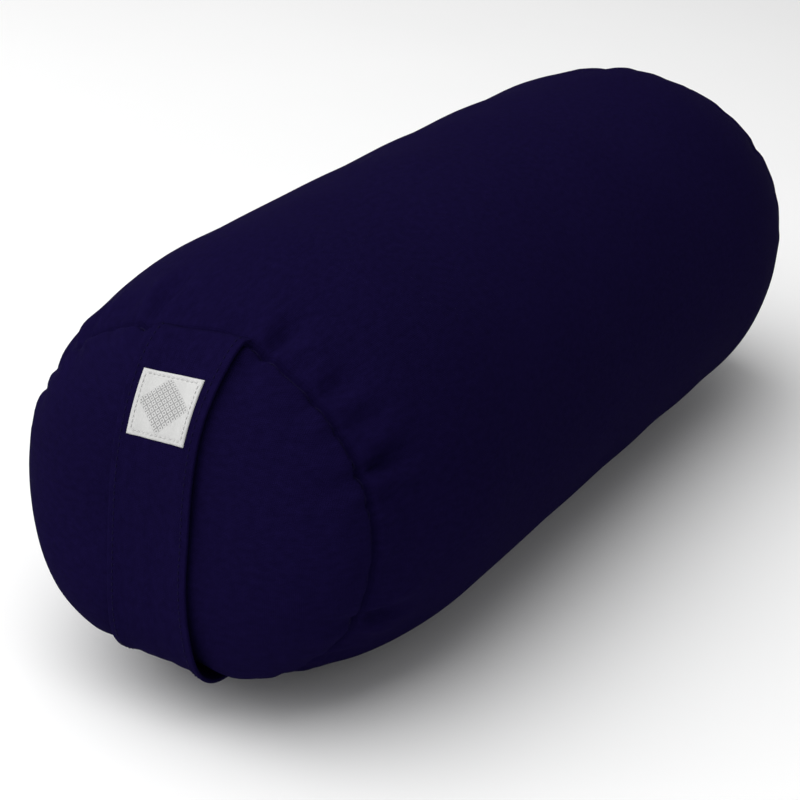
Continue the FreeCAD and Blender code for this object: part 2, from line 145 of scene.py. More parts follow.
def meridian_ratio(x):
    """Section of the cushion at x, as a share of the barrel's section, for x between the seams."""
    reach = SHOULDER / math.sqrt(1 - SEAM_RATIO ** 2)
    past = np.clip(np.abs(x - MIDDLE_X) - HALF_BARREL, 0, SHOULDER)
    return np.sqrt(1 - (past / reach) ** 2)


def angle_gap(a, b):
    """Signed difference between two angles in radians, from -pi to pi."""
    return (a - b + math.pi) % (2 * math.pi) - math.pi


def as_arrays(*values):
    """Numbers and arrays as arrays of one common shape."""
    return np.broadcast_arrays(*(np.asarray(value, float) for value in values))


def bell(distance, width, power=2):
    """1 where the distance is 0, falling to 0 beside it."""
    return np.exp(-(distance / width) ** power)


def swell(turn, middle, width, power=2):
    """1 at an angle round the section, falling to 0 beside it. middle and width are in degrees."""
    return bell(angle_gap(turn, math.radians(middle)), math.radians(width), power)


def pucker_depth(end, turn, along, on_cap):
    """Inward displacement by the puckers of one end, at arc distance along from its seam."""
    total = np.zeros(np.broadcast(turn, along).shape)
    table = HANDLE_PUCKERS if end == "handle" else PLAIN_PUCKERS
    for angle, length, width, depth in table:
        reach = length * MM * (CAP_REACH if on_cap else 1.0)
        settled = CAP_SHARE if on_cap else 1.0
        deep = depth * MM * (settled + (SEAM_DENT - settled) * bell(along, SEAM_BLEND))
        share = np.clip(along / reach, 0, 1)
        fade = (1 - share) ** 2 * (1 + 2 * share)
        spread = width * MM * (PUCKER_NARROW + PUCKER_WIDEN * share)
        across = angle_gap(turn, math.radians(angle)) * SEAM_RATIO * GIRTH_RADIUS / spread
        valley = np.exp(-np.abs(across) ** 1.3)
        ridges = np.exp(-(np.abs(across) - RIDGE_PLACE) ** 2)
        total += PUCKER_GAIN[end] * deep * fade * (valley - RIDGE_SHARE * ridges)
    return total


def seam_groove(along):
    return SEAM_DEPTH * bell(along, SEAM_WIDTH)


def soft_waves(x, turn):
    """The slow unevenness of cloth over a packed filling."""
    lumps = 0.45 * np.sin(x * 31 + 2.1 * np.sin(2 * turn) + 0.6) * np.sin(3 * turn + x * 9 + 1.3)
    lumps += 0.3 * np.sin(x * 57 - 1.7) * np.sin(5 * turn - x * 14 + 0.4)
    lumps += 0.2 * np.sin(x * 84 + 4 * turn + 2.2) * np.sin(7 * turn + 0.9)
    return lumps * MM


def lay_on_floor(z, inset):
    """Lift what would hang below the floor on to it, with a soft turn where the cloth meets it."""
    low = z - inset
    return 0.5 * (low + np.sqrt(low ** 2 + CONTACT_ROUNDING ** 2)) - CONTACT_SETTLE + inset


def end_belly(share, turn):
    """How far the filling's weight pushes an end panel outwards along X, most of all low down."""
    low = (1 - np.sin(turn) * share) / 2
    behind = 1 + 0.9 * swell(turn, -48, 30)
    return END_BELLY * low * behind * 4 * share ** 2 * (1 - share ** 2) * (1.25 - 0.25 * share)


def strap_tuck(turn):
    """How far the strap's lower end draws the handle end inwards where it is sewn in."""
    return STRAP_TUCK * swell(turn, -90, 20, power=4)


def seam_pull(turn):
    """How far the strap draws the handle end's seam forwards where it is sewn in, over its far edge."""
    return SEAM_PULL * swell(turn, 80, 13)


def barrel_swell(x, turn):
    """The barrel's fuller side, up and behind, where the filling has been pushed."""
    lengthwise = np.clip(1 - ((x - BARREL_SWELL_X) / BARREL_SWELL_REACH) ** 2, 0, 1)
    return BARREL_SWELL * swell(turn, 62, 30) * lengthwise


def section_normal(turn):
    """Outward normal of the elliptical section, as y and z."""
    y = HALF_HEIGHT * np.cos(turn)
    z = HALF_WIDTH * np.sin(turn)
    size = np.hypot(y, z)
    return y / size, z / size


def near_zip(x, turn):
    """1 over the whole of the zip's tapes, falling to 0 a few centimetres away."""
    across = np.maximum(np.abs(angle_gap(turn, ZIP_TURN)) * ZIP_REACH - TAPE_REACH, 0)
    beyond = np.maximum(np.abs(x - TAPE_MIDDLE) - TAPE_HALF - 2 * MM, 0)
    return np.exp(-(across / CALM_ACROSS) ** 2 - (beyond / CALM_ALONG) ** 2)


def cubic_weights(fraction):
    """Weights of four neighbouring samples for a smooth curve through the middle two."""
    f = fraction
    return (0.5 * (2 * f * f - f - f ** 3), 0.5 * (3 * f ** 3 - 5 * f * f + 2),
            0.5 * (4 * f * f - 3 * f ** 3 + f), 0.5 * (f ** 3 - f * f))


def sample(table, row, column, wrap):
    """Smooth reading of a table at fractional places. The columns of a wrapped table go round."""
    rows, columns = table.shape
    row = np.clip(row, 0, rows - 1)
    if not wrap:
        column = np.clip(column, 0, columns - 1)
    i, j = np.floor(row).astype(int), np.floor(column).astype(int)
    total = 0.0
    for a, row_weight in enumerate(cubic_weights(row - i)):
        at_row = np.clip(i + a - 1, 0, rows - 1)
        for b, column_weight in enumerate(cubic_weights(column - j)):
            at_column = (j + b - 1) % columns if wrap else np.clip(j + b - 1, 0, columns - 1)
            total = total + row_weight * column_weight * table[at_row, at_column]
    return total


RELIEF = {}  # outward displacement found by the cloth simulation, empty until it has run


def sewn_relief(part, along, turn):
    """Outward displacement of a panel by the simulation: along is x on the body, or the radius share."""
    if part not in RELIEF:
        return 0.0
    table, places = RELIEF[part]
    if part == "body":
        column = (turn + math.pi / 4) / (2 * math.pi) * table.shape[1]
        return sample(table, np.interp(along, places, np.arange(len(places))), column, True)
    half = (table.shape[0] - 1) / 2
    turn = (turn + math.pi / 4) % (2 * math.pi) - math.pi / 4
    quarter = np.clip(np.floor((turn + math.pi / 4) / (math.pi / 2)), 0, 3)
    slide = along * (turn - quarter * math.pi / 2) / (math.pi / 4)
    across = np.select([quarter == 0, quarter == 1, quarter == 2], [along, -slide, -along], slide)
    up = np.select([quarter == 0, quarter == 1, quarter == 2], [slide, along, -slide], -along)
    return sample(table, (across + 1) * half, (up + 1) * half, False)


def body_skin(x, turn, inset=0.0, push=0.0):
    """Points of the body panel's outer face. push moves them outwards."""
    x, turn = as_arrays(x, turn)
    ratio = meridian_ratio(x)
    inward = inset - push
    calm = 1 - near_zip(x, turn)
    for end, seam in SEAM_X.items():
        along = np.abs(x - seam) * SHOULDER_ARC
        inward = inward + pucker_depth(end, turn, along, False) * calm + seam_groove(along)
    to_end = np.minimum(x - SEAM_X["handle"], SEAM_X["plain"] - x)
    inward = inward - (sewn_relief("body", x, turn) + barrel_swell(x, turn)) * calm
    inward = inward - soft_waves(x, turn) * calm * (1 - bell(to_end, 2 * SEAM_BLEND))
    inward = inward + strap_tuck(turn) * bell(x - SEAM_X["handle"], STRAP_TUCK_REACH)
    out_y, out_z = section_normal(turn)
    past = np.sign(x - MIDDLE_X) * np.maximum(np.abs(x - MIDDLE_X) - HALF_BARREL, 0)
    to_seam = SHOULDER - np.abs(past)
    lean = past / SHOULDER * SHOULDER_LEAN * (1 - bell(to_seam, SEAM_BLEND))
    y = HALF_WIDTH * ratio * np.cos(turn) - inward * out_y
    z = CENTRE_Z + HALF_HEIGHT * ratio * np.sin(turn) - inward * out_z
    pull = seam_pull(turn) * bell(x - SEAM_X["handle"], SEAM_PULL_REACH)
    return np.stack([x - inward * lean - pull, y, lay_on_floor(z - PULL_DROP * pull, inset)], -1)


def cap_skin(end, lift, turn, inset=0.0, push=0.0):
    """Points of an end panel's outer face. lift runs from 0 at the seam to a quarter turn at the apex."""
    lift, turn = as_arrays(lift, turn)
    side = -1 if end == "handle" else 1
    share = np.cos(lift)
    along = (1 - share) * SEAM_RATIO * GIRTH_RADIUS + CROWN * np.sin(lift) * 0.6
    lumps = 0.5 * MM * np.sin(5 * turn + 9 * share) * share * np.sin(2 * lift)
    out_y, out_z = section_normal(turn)
    inward = inset - push + seam_groove(along) - sewn_relief(end, share, turn)
    inward = inward + pucker_depth(end, turn, along, True) + lumps
    if end == "handle":
        inward = inward + strap_tuck(turn) * share ** 4
    y = HALF_WIDTH * SEAM_RATIO * share * np.cos(turn) - inward * share * out_y
    z = HALF_HEIGHT * SEAM_RATIO * share * np.sin(turn) - inward * share * out_z + CENTRE_Z
    pull = seam_pull(turn) * share ** 6 if end == "handle" else 0.0
    x = SEAM_X[end] + side * (CROWN * np.sin(lift) - inward * np.sin(lift) + end_belly(share, turn)) - pull
    return np.stack([x, y, lay_on_floor(z - PULL_DROP * pull, inset)], -1)


# ---------------------------------------------------------------- mesh helpers
def add_piece(name, points, faces):
    """A smoothly shaded mesh object from points and faces."""
    mesh = bpy.data.meshes.new(name)
    mesh.from_pydata([tuple(p) for p in points], [], faces)
    mesh.update()
    mesh.shade_smooth()
    piece = bpy.data.objects.new(name, mesh)
    bpy.context.scene.collection.objects.link(piece)
    return piece


def set_cloth_uv(piece, coordinates, period=None):
    """Write cloth coordinates in metres, one pair for each point, as the UV map that the weave follows.

    period is the length round the piece at which the second coordinate starts again.
    """
    mesh = piece.data
    layer = mesh.uv_layers.new(name="cloth")
    uv = np.asarray(coordinates, float)[read_all(mesh.loops, "vertex_index", np.int32)]
    if period:
        starts = read_all(mesh.polygons, "loop_start", np.int32)
        first = np.repeat(uv[starts, 1], read_all(mesh.polygons, "loop_total", np.int32))
        uv[:, 1] -= period * np.round((uv[:, 1] - first) / period)
    layer.data.foreach_set("uv", uv.astype(np.float32).ravel())


def read_all(collection, attribute, kind, width=1):
    """One attribute of every item of a mesh's collection, as an array."""
    values = np.zeros(len(collection) * width, kind)
    collection.foreach_get(attribute, values)
    return values.reshape(-1, width) if width > 1 else values


def arc_lengths(path):
    """Distance along a path of points, at each of them."""
    steps = np.linalg.norm(np.diff(path, axis=0), axis=1)
    return np.concatenate([[0], np.cumsum(steps)])


def along_path(where, arc, path):
    """Points or directions of a path at these distances along it."""
    return np.stack([np.interp(where, arc, path[:, k]) for k in range(3)], 1)


def grid_faces(rows, columns, wrap_rows=False, wrap_columns=False):
    """Quads of a grid of points numbered row by row."""
    faces = []
    for i in range(rows if wrap_rows else rows - 1):
        for j in range(columns if wrap_columns else columns - 1):
            k, m = (i + 1) % rows, (j + 1) % columns
            faces.append((i * columns + j, i * columns + m, k * columns + m, k * columns + j))
    return faces


def grid_rim(rows, columns):
    """The places round the edge of a grid, in order, given the numbers of its rows and columns."""
    return ([(rows[0], j) for j in columns] + [(i, columns[-1]) for i in rows[1:]]
            + [(rows[-1], j) for j in columns[-2::-1]] + [(i, columns[0]) for i in rows[-2:0:-1]])


def renumbered(faces, index):
    return [tuple(int(index[k]) for k in face) for face in faces]


def tube_along(path, radius, sides=8):
    """Points and faces of a round tube along a path of points, closed at both ends."""
    path = np.asarray(path, float)
    tangent = np.gradient(path, axis=0)
    tangent /= np.linalg.norm(tangent, axis=1)[:, None]
    guide = np.array([0.31, 0.53, 0.79])
    side = np.cross(tangent, guide)
    side /= np.linalg.norm(side, axis=1)[:, None]
    up = np.cross(side, tangent)
    turn = np.linspace(0, 2 * math.pi, sides, endpoint=False)
    ring = path[:, None] + radius * (np.cos(turn)[None, :, None] * side[:, None]
                                     + np.sin(turn)[None, :, None] * up[:, None])
    points = ring.reshape(-1, 3)
    faces = [face[::-1] for face in grid_faces(len(path), sides, wrap_columns=True)]
    faces.append(tuple(range(sides)))
    faces.append(tuple(len(points) - sides + i for i in range(sides))[::-1])
    return points, faces


def merge(shapes):
    """Join several (points, faces) shapes into one."""
    points, faces, count = [], [], 0
    for shape_points, shape_faces in shapes:
        points.append(np.asarray(shape_points, float))
        faces += [tuple(i + count for i in face) for face in shape_faces]
        count += len(shape_points)
    return np.concatenate(points), faces


STITCH_LIFT = 0.02 * MM  # of a stitch's middle line over the cloth's face
# a stitch's height over the cloth and its thickness at five places along it, in thread radii
STITCH_BOW = np.array([-0.9, 0.35, 0.6, 0.35, -0.9])
STITCH_GIRTH = np.array([0.7, 1.0, 1.05, 1.0, 0.7])


def stitch_row(path, outward, length=2.3 * MM, gap=1.0 * MM, radius=0.24 * MM):
    """A row of separate stitches along a path, each a small bead of thread that dips in at its ends."""
    path = np.asarray(path, float)
    outward = np.asarray(outward, float)
    arc = arc_lengths(path)
    pitch = length + gap
    count = max(1, int((arc[-1] + gap) / pitch))
    start = (arc[-1] - count * pitch + gap) / 2
    shapes = []
    for i in range(count):
        where = start + i * pitch + length * np.linspace(0, 1, 5)
        bow = radius * STITCH_BOW[:, None]
        middle = along_path(where, arc, path) + along_path(where, arc, outward) * bow
        points, faces = tube_along(middle, 1.0, sides=6)
        rings = points.reshape(5, 6, 3)
        centre = rings.mean(1, keepdims=True)
        rings = centre + (rings - centre) * (radius * STITCH_GIRTH)[:, None, None]
        shapes.append((rings.reshape(-1, 3), faces))
    return shapes


# ---------------------------------------------------------------- materials
class Surface:
    """A new material, with short names for the nodes that the materials here are made of."""

    def __init__(self, name):
        self.material = bpy.data.materials.new(name)
        self.material.use_nodes = True
        self.tree = self.material.node_tree
        self.shader = self.tree.nodes["Principled BSDF"]

    def node(self, kind, **settings):
        made = self.tree.nodes.new("ShaderNode" + kind)
        for name, value in settings.items():
            setattr(made, name, value)
        return made

    def feed(self, socket, value):
        """Set a socket to a number, colour or vector, or link it to another node's output."""
        if isinstance(value, bpy.types.NodeSocket):
            self.tree.links.new(value, socket)
        else:
            socket.default_value = value

    def give(self, **values):
        """Feed the shader's sockets. An underscore stands for a space in a socket's name."""
        for name, value in values.items():
            self.feed(self.shader.inputs[name.replace("_", " ")], value)
        return self.material

    def math(self, operation, *values):
        made = self.node("Math", operation=operation)
        for socket, value in zip(made.inputs, values):
            self.feed(socket, value)
        return made.outputs[0]

    def add(self, first, second):
        return self.math("ADD", first, second)

    def mul(self, first, second):
        return self.math("MULTIPLY", first, second)

    def scaled(self, vector, factors):
        made = self.node("VectorMath", operation="MULTIPLY")
        self.feed(made.inputs[0], vector)
        made.inputs[1].default_value = factors
        return made.outputs[0]

    def noise(self, vector, factors, detail=3.0, roughness=0.55):
        """Noise from 0 to 1, with a scale for each axis."""
        made = self.node("TexNoise")
        self.feed(made.inputs["Vector"], self.scaled(vector, factors))
        for name, value in (("Scale", 1.0), ("Detail", detail), ("Roughness", roughness)):
            made.inputs[name].default_value = value
        return made.outputs["Fac"]

    def blend(self, share, *colours):
        """The colour between two others, each given as three numbers or as a socket."""
        made = self.node("Mix", data_type="RGBA")
        self.feed(made.inputs[0], share)
        for place, colour in zip((6, 7), colours):
            self.feed(made.inputs[place], (*colour, 1) if isinstance(colour, tuple) else colour)
        return made.outputs[2]

    def bump(self, height, strength, distance, normal=None):
        made = self.node("Bump")
        self.feed(made.inputs["Height"], height)
        made.inputs["Strength"].default_value = strength
        made.inputs["Distance"].default_value = distance
        if normal is not None:
            self.feed(made.inputs["Normal"], normal)
        return made.outputs["Normal"]

    def split(self, vector):
        made = self.node("SeparateXYZ")
        self.feed(made.inputs[0], vector)
        return made.outputs

    def cloth(self):
        """Place on the cloth in metres, from the UV map."""
        return self.node("UVMap", uv_map="cloth").outputs["UV"]

    def place(self):
        return self.node("TexCoord").outputs["Object"]

    def worn(self, level, gain):
        """Wear of the edges: 0 up to this level of pointiness, and rising past it."""
        edge = self.node("NewGeometry").outputs["Pointiness"]
        return self.math("MAXIMUM", self.mul(self.math("SUBTRACT", edge, level), gain), 0.0)


def plain_weave(s, cloth, pitch):
    """Height of a plain weave from 0 to 1, and which of the two threads lies on top."""
    phase = s.split(s.scaled(cloth, (math.pi / pitch, math.pi / pitch, 1.0)))
    crossing = s.mul(s.math("SINE", phase[0]), s.math("SINE", phase[1]))
    height = s.math("POWER", s.math("ABSOLUTE", crossing), 0.6)
    return height, s.math("GREATER_THAN", crossing, 0.0)


def canvas_material(name, colour, lit_colour, pitch=0.8 * MM, wear=0.35):
    """Heavy plain-weave cotton: uneven threads, slow colour drift, lighter fibres on worn edges, and painted
    shade in the weave's grooves and on one of its two thread directions.
    """
    s = Surface(name)
    cloth = s.cloth()
    height, over = plain_weave(s, cloth, pitch)
    slub = s.add(s.mul(s.noise(cloth, (160.0, 1500.0, 1.0), 2.0), 0.5),
                 s.mul(s.noise(cloth, (1500.0, 160.0, 1.0), 2.0), 0.5))
    drift = s.noise(cloth, (14.0, 14.0, 1.0), 4.0)
    mottle = s.noise(cloth, (210.0, 330.0, 1.0), 3.0, 0.65)
    fuzz = s.noise(cloth, (2600.0, 2600.0, 1.0), 3.0, 0.7)
    tone_and_weave_shade = s.add(s.mul(slub, 0.45), s.mul(drift, 0.45))
    tone_and_weave_shade = s.add(tone_and_weave_shade, s.math("SUBTRACT", s.mul(mottle, 1.5), 0.6))
    # painted shade: the weave's grooves darker than its crests, and painted light that makes the cells where
    # one thread lies on top a little lighter than those where the other does
    tone_and_weave_shade = s.add(s.add(tone_and_weave_shade, s.mul(over, 0.05)), s.mul(height, 0.12))
    share = s.math("MINIMUM", s.add(s.mul(tone_and_weave_shade, 0.8), s.mul(s.worn(0.5, 6.0), wear)), 1.0)
    coarse = s.bump(slub, 0.35, 0.25 * MM)
    fine = s.bump(height, 0.75, 0.16 * MM, coarse)
    return s.give(Base_Color=s.blend(share, colour, lit_colour), Roughness=s.add(0.80, s.mul(fuzz, 0.16)),
                  Specular_IOR_Level=0.004, Sheen_Weight=0.003, Sheen_Roughness=0.4,
                  Sheen_Tint=(0.40, 0.33, 1.0, 1), Normal=s.bump(fuzz, 0.25, 0.06 * MM, fine))


def thread_material(name, colour, lit_colour, sheen):
    """Twisted sewing thread: fine slanting plies with painted shade in the grooves between them, and a soft
    shine.
    """
    s = Surface(name)
    place = s.place()
    plies = s.node("TexWave", bands_direction="DIAGONAL")
    for socket, value in (("Vector", place), ("Scale", 900.0), ("Distortion", 1.5)):
        s.feed(plies.inputs[socket], value)
    twist = plies.outputs["Fac"]
    # the colour follows the plies: painted shade darkens the grooves between them and lightens their crests,
    # mixed with fibre noise
    share = s.mul(s.add(twist, s.noise(place, (2400.0, 2400.0, 2400.0))), 0.5)
    return s.give(Base_Color=s.blend(share, colour, lit_colour), Roughness=0.6, Specular_IOR_Level=0.03,
                  Sheen_Weight=sheen, Normal=s.bump(twist, 0.5, 0.05 * MM))


def tape_material(name, colour, lit_colour):
    """Zip tape: a fine herringbone of slanting ribs that change direction every few millimetres, with painted
    shade in the grooves between them.
    """
    s = Surface(name)
    place = s.place()
    axes = s.split(place)
    run = s.add(axes[0], s.math("PINGPONG", axes[2], 2.4 * MM))
    rib = s.math("SINE", s.mul(run, 2 * math.pi / (0.7 * MM)))
    height = s.add(s.mul(rib, 0.5), 0.5)
    fibre = s.noise(place, (1800.0, 1800.0, 1800.0))
    # painted shade: the grooves between the ribs darker than their crests, mixed with fibre noise
    share = s.add(s.mul(height, 0.6), s.mul(fibre, 0.4))
    return s.give(Base_Color=s.blend(share, colour, lit_colour), Roughness=0.62, Specular_IOR_Level=0.3,
                  Sheen_Weight=0.08, Normal=s.bump(height, 0.7, 0.12 * MM))


def hard_material(name, colour, lit_colour, roughness, coat=0.0, scratch=0.3):
    """Moulded nylon or enamelled metal: slight unevenness, fine scratches, lighter worn edges."""
    s = Surface(name)
    place = s.place()
    patches = s.noise(place, (220.0, 220.0, 220.0), 4.0)
    lines = s.noise(place, (300.0, 4200.0, 4200.0), 2.0)
    share = s.math("MINIMUM", s.add(s.mul(patches, 0.3), s.worn(0.53, 9.0)), 1.0)
    return s.give(Base_Color=s.blend(share, colour, lit_colour), Coat_Weight=coat,
                  Roughness=s.add(roughness - 0.06, s.mul(lines, 0.16)),
                  Normal=s.bump(lines, scratch, 0.02 * MM))


def label_material(name):
    """Satin-woven label: fine weft ribs, and a woven grey lattice of small diamonds in the middle."""
    s = Surface(name)
    cloth = s.cloth()
    across, up, _ = s.split(cloth)
    reach = s.add(s.math("ABSOLUTE", across), s.math("ABSOLUTE", up))
    inside = s.math("LESS_THAN", reach, LATTICE_REACH)
    waves = [s.math("PINGPONG", s.math(operation, across, up), LATTICE_PITCH / 2)
             for operation in ("ADD", "SUBTRACT")]
    lines = s.math("MAXIMUM", *(s.math("LESS_THAN", wave, LATTICE_LINE) for wave in waves))
    dot = s.math("GREATER_THAN", s.math("MINIMUM", *waves), LATTICE_PITCH * 0.33)
    figure = s.mul(inside, s.math("MAXIMUM", lines, dot))
    weft = s.math("SINE", s.mul(up, 2 * math.pi / (0.32 * MM)))
    warp = s.math("SINE", s.mul(across, 2 * math.pi / (0.55 * MM)))
    shade = s.add(s.mul(s.noise(cloth, (900.0, 3800.0, 1.0)), 0.5),
                  s.mul(s.noise(cloth, (70.0, 70.0, 1.0)), 0.5))
    ground = s.blend(shade, (0.45, 0.45, 0.445), (0.57, 0.57, 0.565))
    ink = s.blend(shade, (0.06, 0.06, 0.063), (0.11, 0.11, 0.113))
    strength = s.mul(figure, s.add(0.62, s.mul(weft, 0.16)))
    height = s.add(s.add(s.mul(weft, 0.35), s.mul(warp, 0.15)), s.mul(figure, 0.6))
    return s.give(Base_Color=s.blend(strength, ground, ink), Roughness=0.5, Specular_IOR_Level=0.35,
                  Sheen_Weight=0.15, Normal=s.bump(height, 0.5, 0.07 * MM))


def hull_material(name):
    """Dry hulls: small dark three-sided flakes."""
    s = Surface(name)
    cells = s.node("TexVoronoi")
    s.feed(cells.inputs["Vector"], s.place())
    cells.inputs["Scale"].default_value = 240.0
    depth = cells.outputs["Distance"]
    return s.give(Base_Color=s.blend(depth, (0.20, 0.11, 0.06), (0.05, 0.028, 0.016)), Roughness=0.7,
                  Normal=s.bump(depth, 0.8, 1.2 * MM))


def floor_material(name):
    s = Surface(name)
    grain = s.noise(s.place(), (3.0, 3.0, 3.0))
    return s.give(Base_Color=s.blend(grain, (0.90, 0.90, 0.90), (0.93, 0.93, 0.93)), Roughness=0.9,
                  Specular_IOR_Level=0.1)


def paint(piece, material):
    piece.data.materials.clear()
    piece.data.materials.append(material)
    return piece


# ---------------------------------------------------------------- the sewn cover, blown up
SIM_SIDE = 34  # quads along a quarter of the seam
SIM_FRAMES = 14
SIM_CAP = 5.0 * MM  # furthest that the simulation may move a point
SIM_SMOOTHING = 2
SIM_CLOTH = {
    "quality": 8, "mass": 0.002, "air_damping": 2.0,
    "tension_stiffness": 300.0, "compression_stiffness": 250.0, "shear_stiffness": 20.0,
    "bending_model": "ANGULAR", "bending_stiffness": 0.01,
    "tension_damping": 5.0, "compression_damping": 5.0, "shear_damping": 5.0, "bending_damping": 0.5,
    "use_pressure": True, "uniform_pressure_force": 40.0,
}


def square_to_disc(a, b):
    """A point of the square from -1 to 1, moved to the disc of radius 1, ring by ring."""
    if a == 0 and b == 0:
        return 0.0, 0.0
    if abs(a) > abs(b):
        radius, bend = a, math.pi / 4 * b / a
    else:
        radius, bend = b, math.pi / 2 - math.pi / 4 * a / b
    return radius * math.cos(bend), radius * math.sin(bend)


def simulate_cover():
    """Sew a flat tube to two flat discs, blow the cover up, and keep the folds as displacement tables.

    The cloth's rest shape is the cut pieces: a straight tube and flat discs whose edge is as long as
    the tube's. Filled tight, the tube draws in towards its seams and gathers there.
    """
    n, around = SIM_SIDE, 4 * SIM_SIDE
    places = np.linspace(SEAM_X["handle"], SEAM_X["plain"], 401)
    slope = np.gradient(meridian_ratio(places) * GIRTH_RADIUS, places)
    arc = np.concatenate([[0], np.cumsum(np.hypot(1, slope[1:]) * np.diff(places))])
    rows = round(arc[-1] / (2 * math.pi * GIRTH_RADIUS / around))
    cut = np.linspace(0, arc[-1], rows + 1)
    row_x = np.interp(cut, arc, places)
    turns = -math.pi / 4 + np.arange(around) * 2 * math.pi / around
    ring = grid_rim(range(n, -1, -1), range(n + 1))
    x, turn = np.meshgrid(row_x, turns, indexing="ij")
    start = [body_skin(x, turn).reshape(-1, 3)]
    flat = [np.stack([np.repeat(cut - arc[-1] / 2, around), GIRTH_RADIUS * np.cos(turn).ravel(),
                      GIRTH_RADIUS * np.sin(turn).ravel()], 1)]
    faces = grid_faces(rows + 1, around, wrap_columns=True)
    count, grids = (rows + 1) * around, {}
    for end, row in (("handle", 0), ("plain", rows)):
        grid = np.zeros((n + 1, n + 1), int)
        for m, key in enumerate(ring):
            grid[key] = row * around + m
        inner = [(i, j) for i in range(1, n) for j in range(1, n)]
        disc = np.array([square_to_disc(2 * i / n - 1, 2 * j / n - 1) for i, j in inner])
        for m, key in enumerate(inner):
            grid[key] = count + m
        count += len(inner)
        share = np.hypot(disc[:, 0], disc[:, 1])
        start.append(cap_skin(end, np.arccos(np.clip(share, 0, 1)), np.arctan2(disc[:, 1], disc[:, 0])))
        side = -1 if end == "handle" else 1
        flat.append(np.stack([np.full(len(disc), side * arc[-1] / 2), *(GIRTH_RADIUS * disc.T)], 1))
        for i, j in np.ndindex(n, n):
            quad = (grid[i, j], grid[i + 1, j], grid[i + 1, j + 1], grid[i, j + 1])
            faces.append(tuple(int(k) for k in (quad if end == "plain" else quad[::-1])))
        grids[end] = grid
    start, flat = np.concatenate(start), np.concatenate(flat)

    piece = add_piece("sewn_cover", start, faces)
    piece.shape_key_add(name="Basis", from_mix=False)
    cut_shape = piece.shape_key_add(name="cut", from_mix=False)
    cut_shape.data.foreach_set("co", flat.astype(np.float32).ravel())
    cut_shape.value = 0.0
    cloth = piece.modifiers.new("Cloth", "CLOTH")
    for name, value in SIM_CLOTH.items():
        setattr(cloth.settings, name, value)
    cloth.settings.effector_weights.gravity = 0.0
    cloth.settings.rest_shape_key = cut_shape
    cloth.collision_settings.use_collision = False
    cloth.point_cache.frame_start = 1
    cloth.point_cache.frame_end = SIM_FRAMES
    for frame_number in range(1, SIM_FRAMES + 1):
        bpy.context.scene.frame_set(frame_number)
    blown = piece.evaluated_get(bpy.context.evaluated_depsgraph_get())
    travel = read_all(blown.data.vertices, "co", np.float32, 3) - start
    moved = (travel * read_all(piece.data.vertices, "normal", np.float32, 3)).sum(1)
    edges = read_all(piece.data.edges, "vertices", np.int32, 2)
    mesh = piece.data
    bpy.data.objects.remove(piece)
    bpy.data.meshes.remove(mesh)
    bpy.context.scene.frame_set(1)

    degree = np.bincount(edges.ravel(), minlength=len(moved))
    for _ in range(SIM_SMOOTHING):
        around_sum = np.zeros(len(moved))
        np.add.at(around_sum, edges[:, 0], moved[edges[:, 1]])
        np.add.at(around_sum, edges[:, 1], moved[edges[:, 0]])
        moved = 0.5 * moved + 0.5 * around_sum / degree
    body = moved[:(rows + 1) * around].reshape(rows + 1, around)
    body = body - body.mean(1, keepdims=True)
    RELIEF["body"] = (np.clip(body, -SIM_CAP, SIM_CAP), row_x)
    from_middle = np.abs(2 * np.arange(n + 1) / n - 1)
    level = np.round(np.maximum.outer(from_middle, from_middle) * n).astype(int)
    for end, grid in grids.items():
        mean = np.bincount(level.ravel(), moved[grid].ravel()) / np.maximum(np.bincount(level.ravel()), 1)
        RELIEF[end] = (np.clip(moved[grid] - mean[level], -SIM_CAP, SIM_CAP), None)


simulate_cover()


# ---------------------------------------------------------------- the cover
ROW_STEP, COLUMN_STEP = 4.2 * MM, 4.4 * MM  # between the points of a panel, away from its edges
CAP_CLOTH = 1.07  # length of cloth from an end panel's apex to its seam, as a share of its radius
CORD_RADIUS, CORD_PUSH = 0.4 * MM, -0.15 * MM  # of the end seams' cords, and how far they stand out
GROOVE_DEPTH, GROOVE_WIDTH = 1.3 * MM, 2.2 * MM  # of the lengthwise seam
GROOVE_RUN_IN = 6 * MM


def spread_between(low, high, step):
    """Evenly spaced numbers from low to high, about a step apart, both ends included."""
    return list(np.linspace(low, high, max(2, int(round((high - low) / step)) + 1)))


def girth_columns():
    """Angles round the cushion: even, and close together beside the zip."""
    fine = np.array([0, 1.2, 2.4, 3.3, 4.0, 4.5, 5.3, 6.2, 7.2, 8.6, 10.4, 12.8, 16.0]) * MM / ZIP_REACH
    beside = sorted({*(ZIP_TURN + fine), *(ZIP_TURN - fine)})
    rest = spread_between(beside[-1], beside[0] + 2 * math.pi, COLUMN_STEP / GIRTH_RADIUS)
    return np.array(beside + rest[1:-1])


def body_rows():
    """Places along the body: close together beside the end seams, and a row at each end of the slot."""
    near = np.array([0, 0.6, 1.2, 1.9, 2.7, 3.6, 4.7, 6.0, 7.6, 9.6, 12.0, 15.0, 18.5, 22.5]) * MM
    low, high = SEAM_X["handle"], SEAM_X["plain"]
    rows = [*(low + near)]
    for place in (*SLOT_ENDS, high - near[-1]):
        rows += spread_between(rows[-1], place, ROW_STEP)[1:]
    return np.array(rows + [*(high - near[-2::-1])])


def cap_rows():
    """Lift angles over an end panel: close together beside the seam."""
    near = np.radians([0, 0.8, 1.6, 2.6, 3.8, 5.2, 7.0, 9.4, 12.4, 16.0])
    return np.array([*near, *spread_between(near[-1], math.radians(87.5), math.radians(3.4))[1:]])


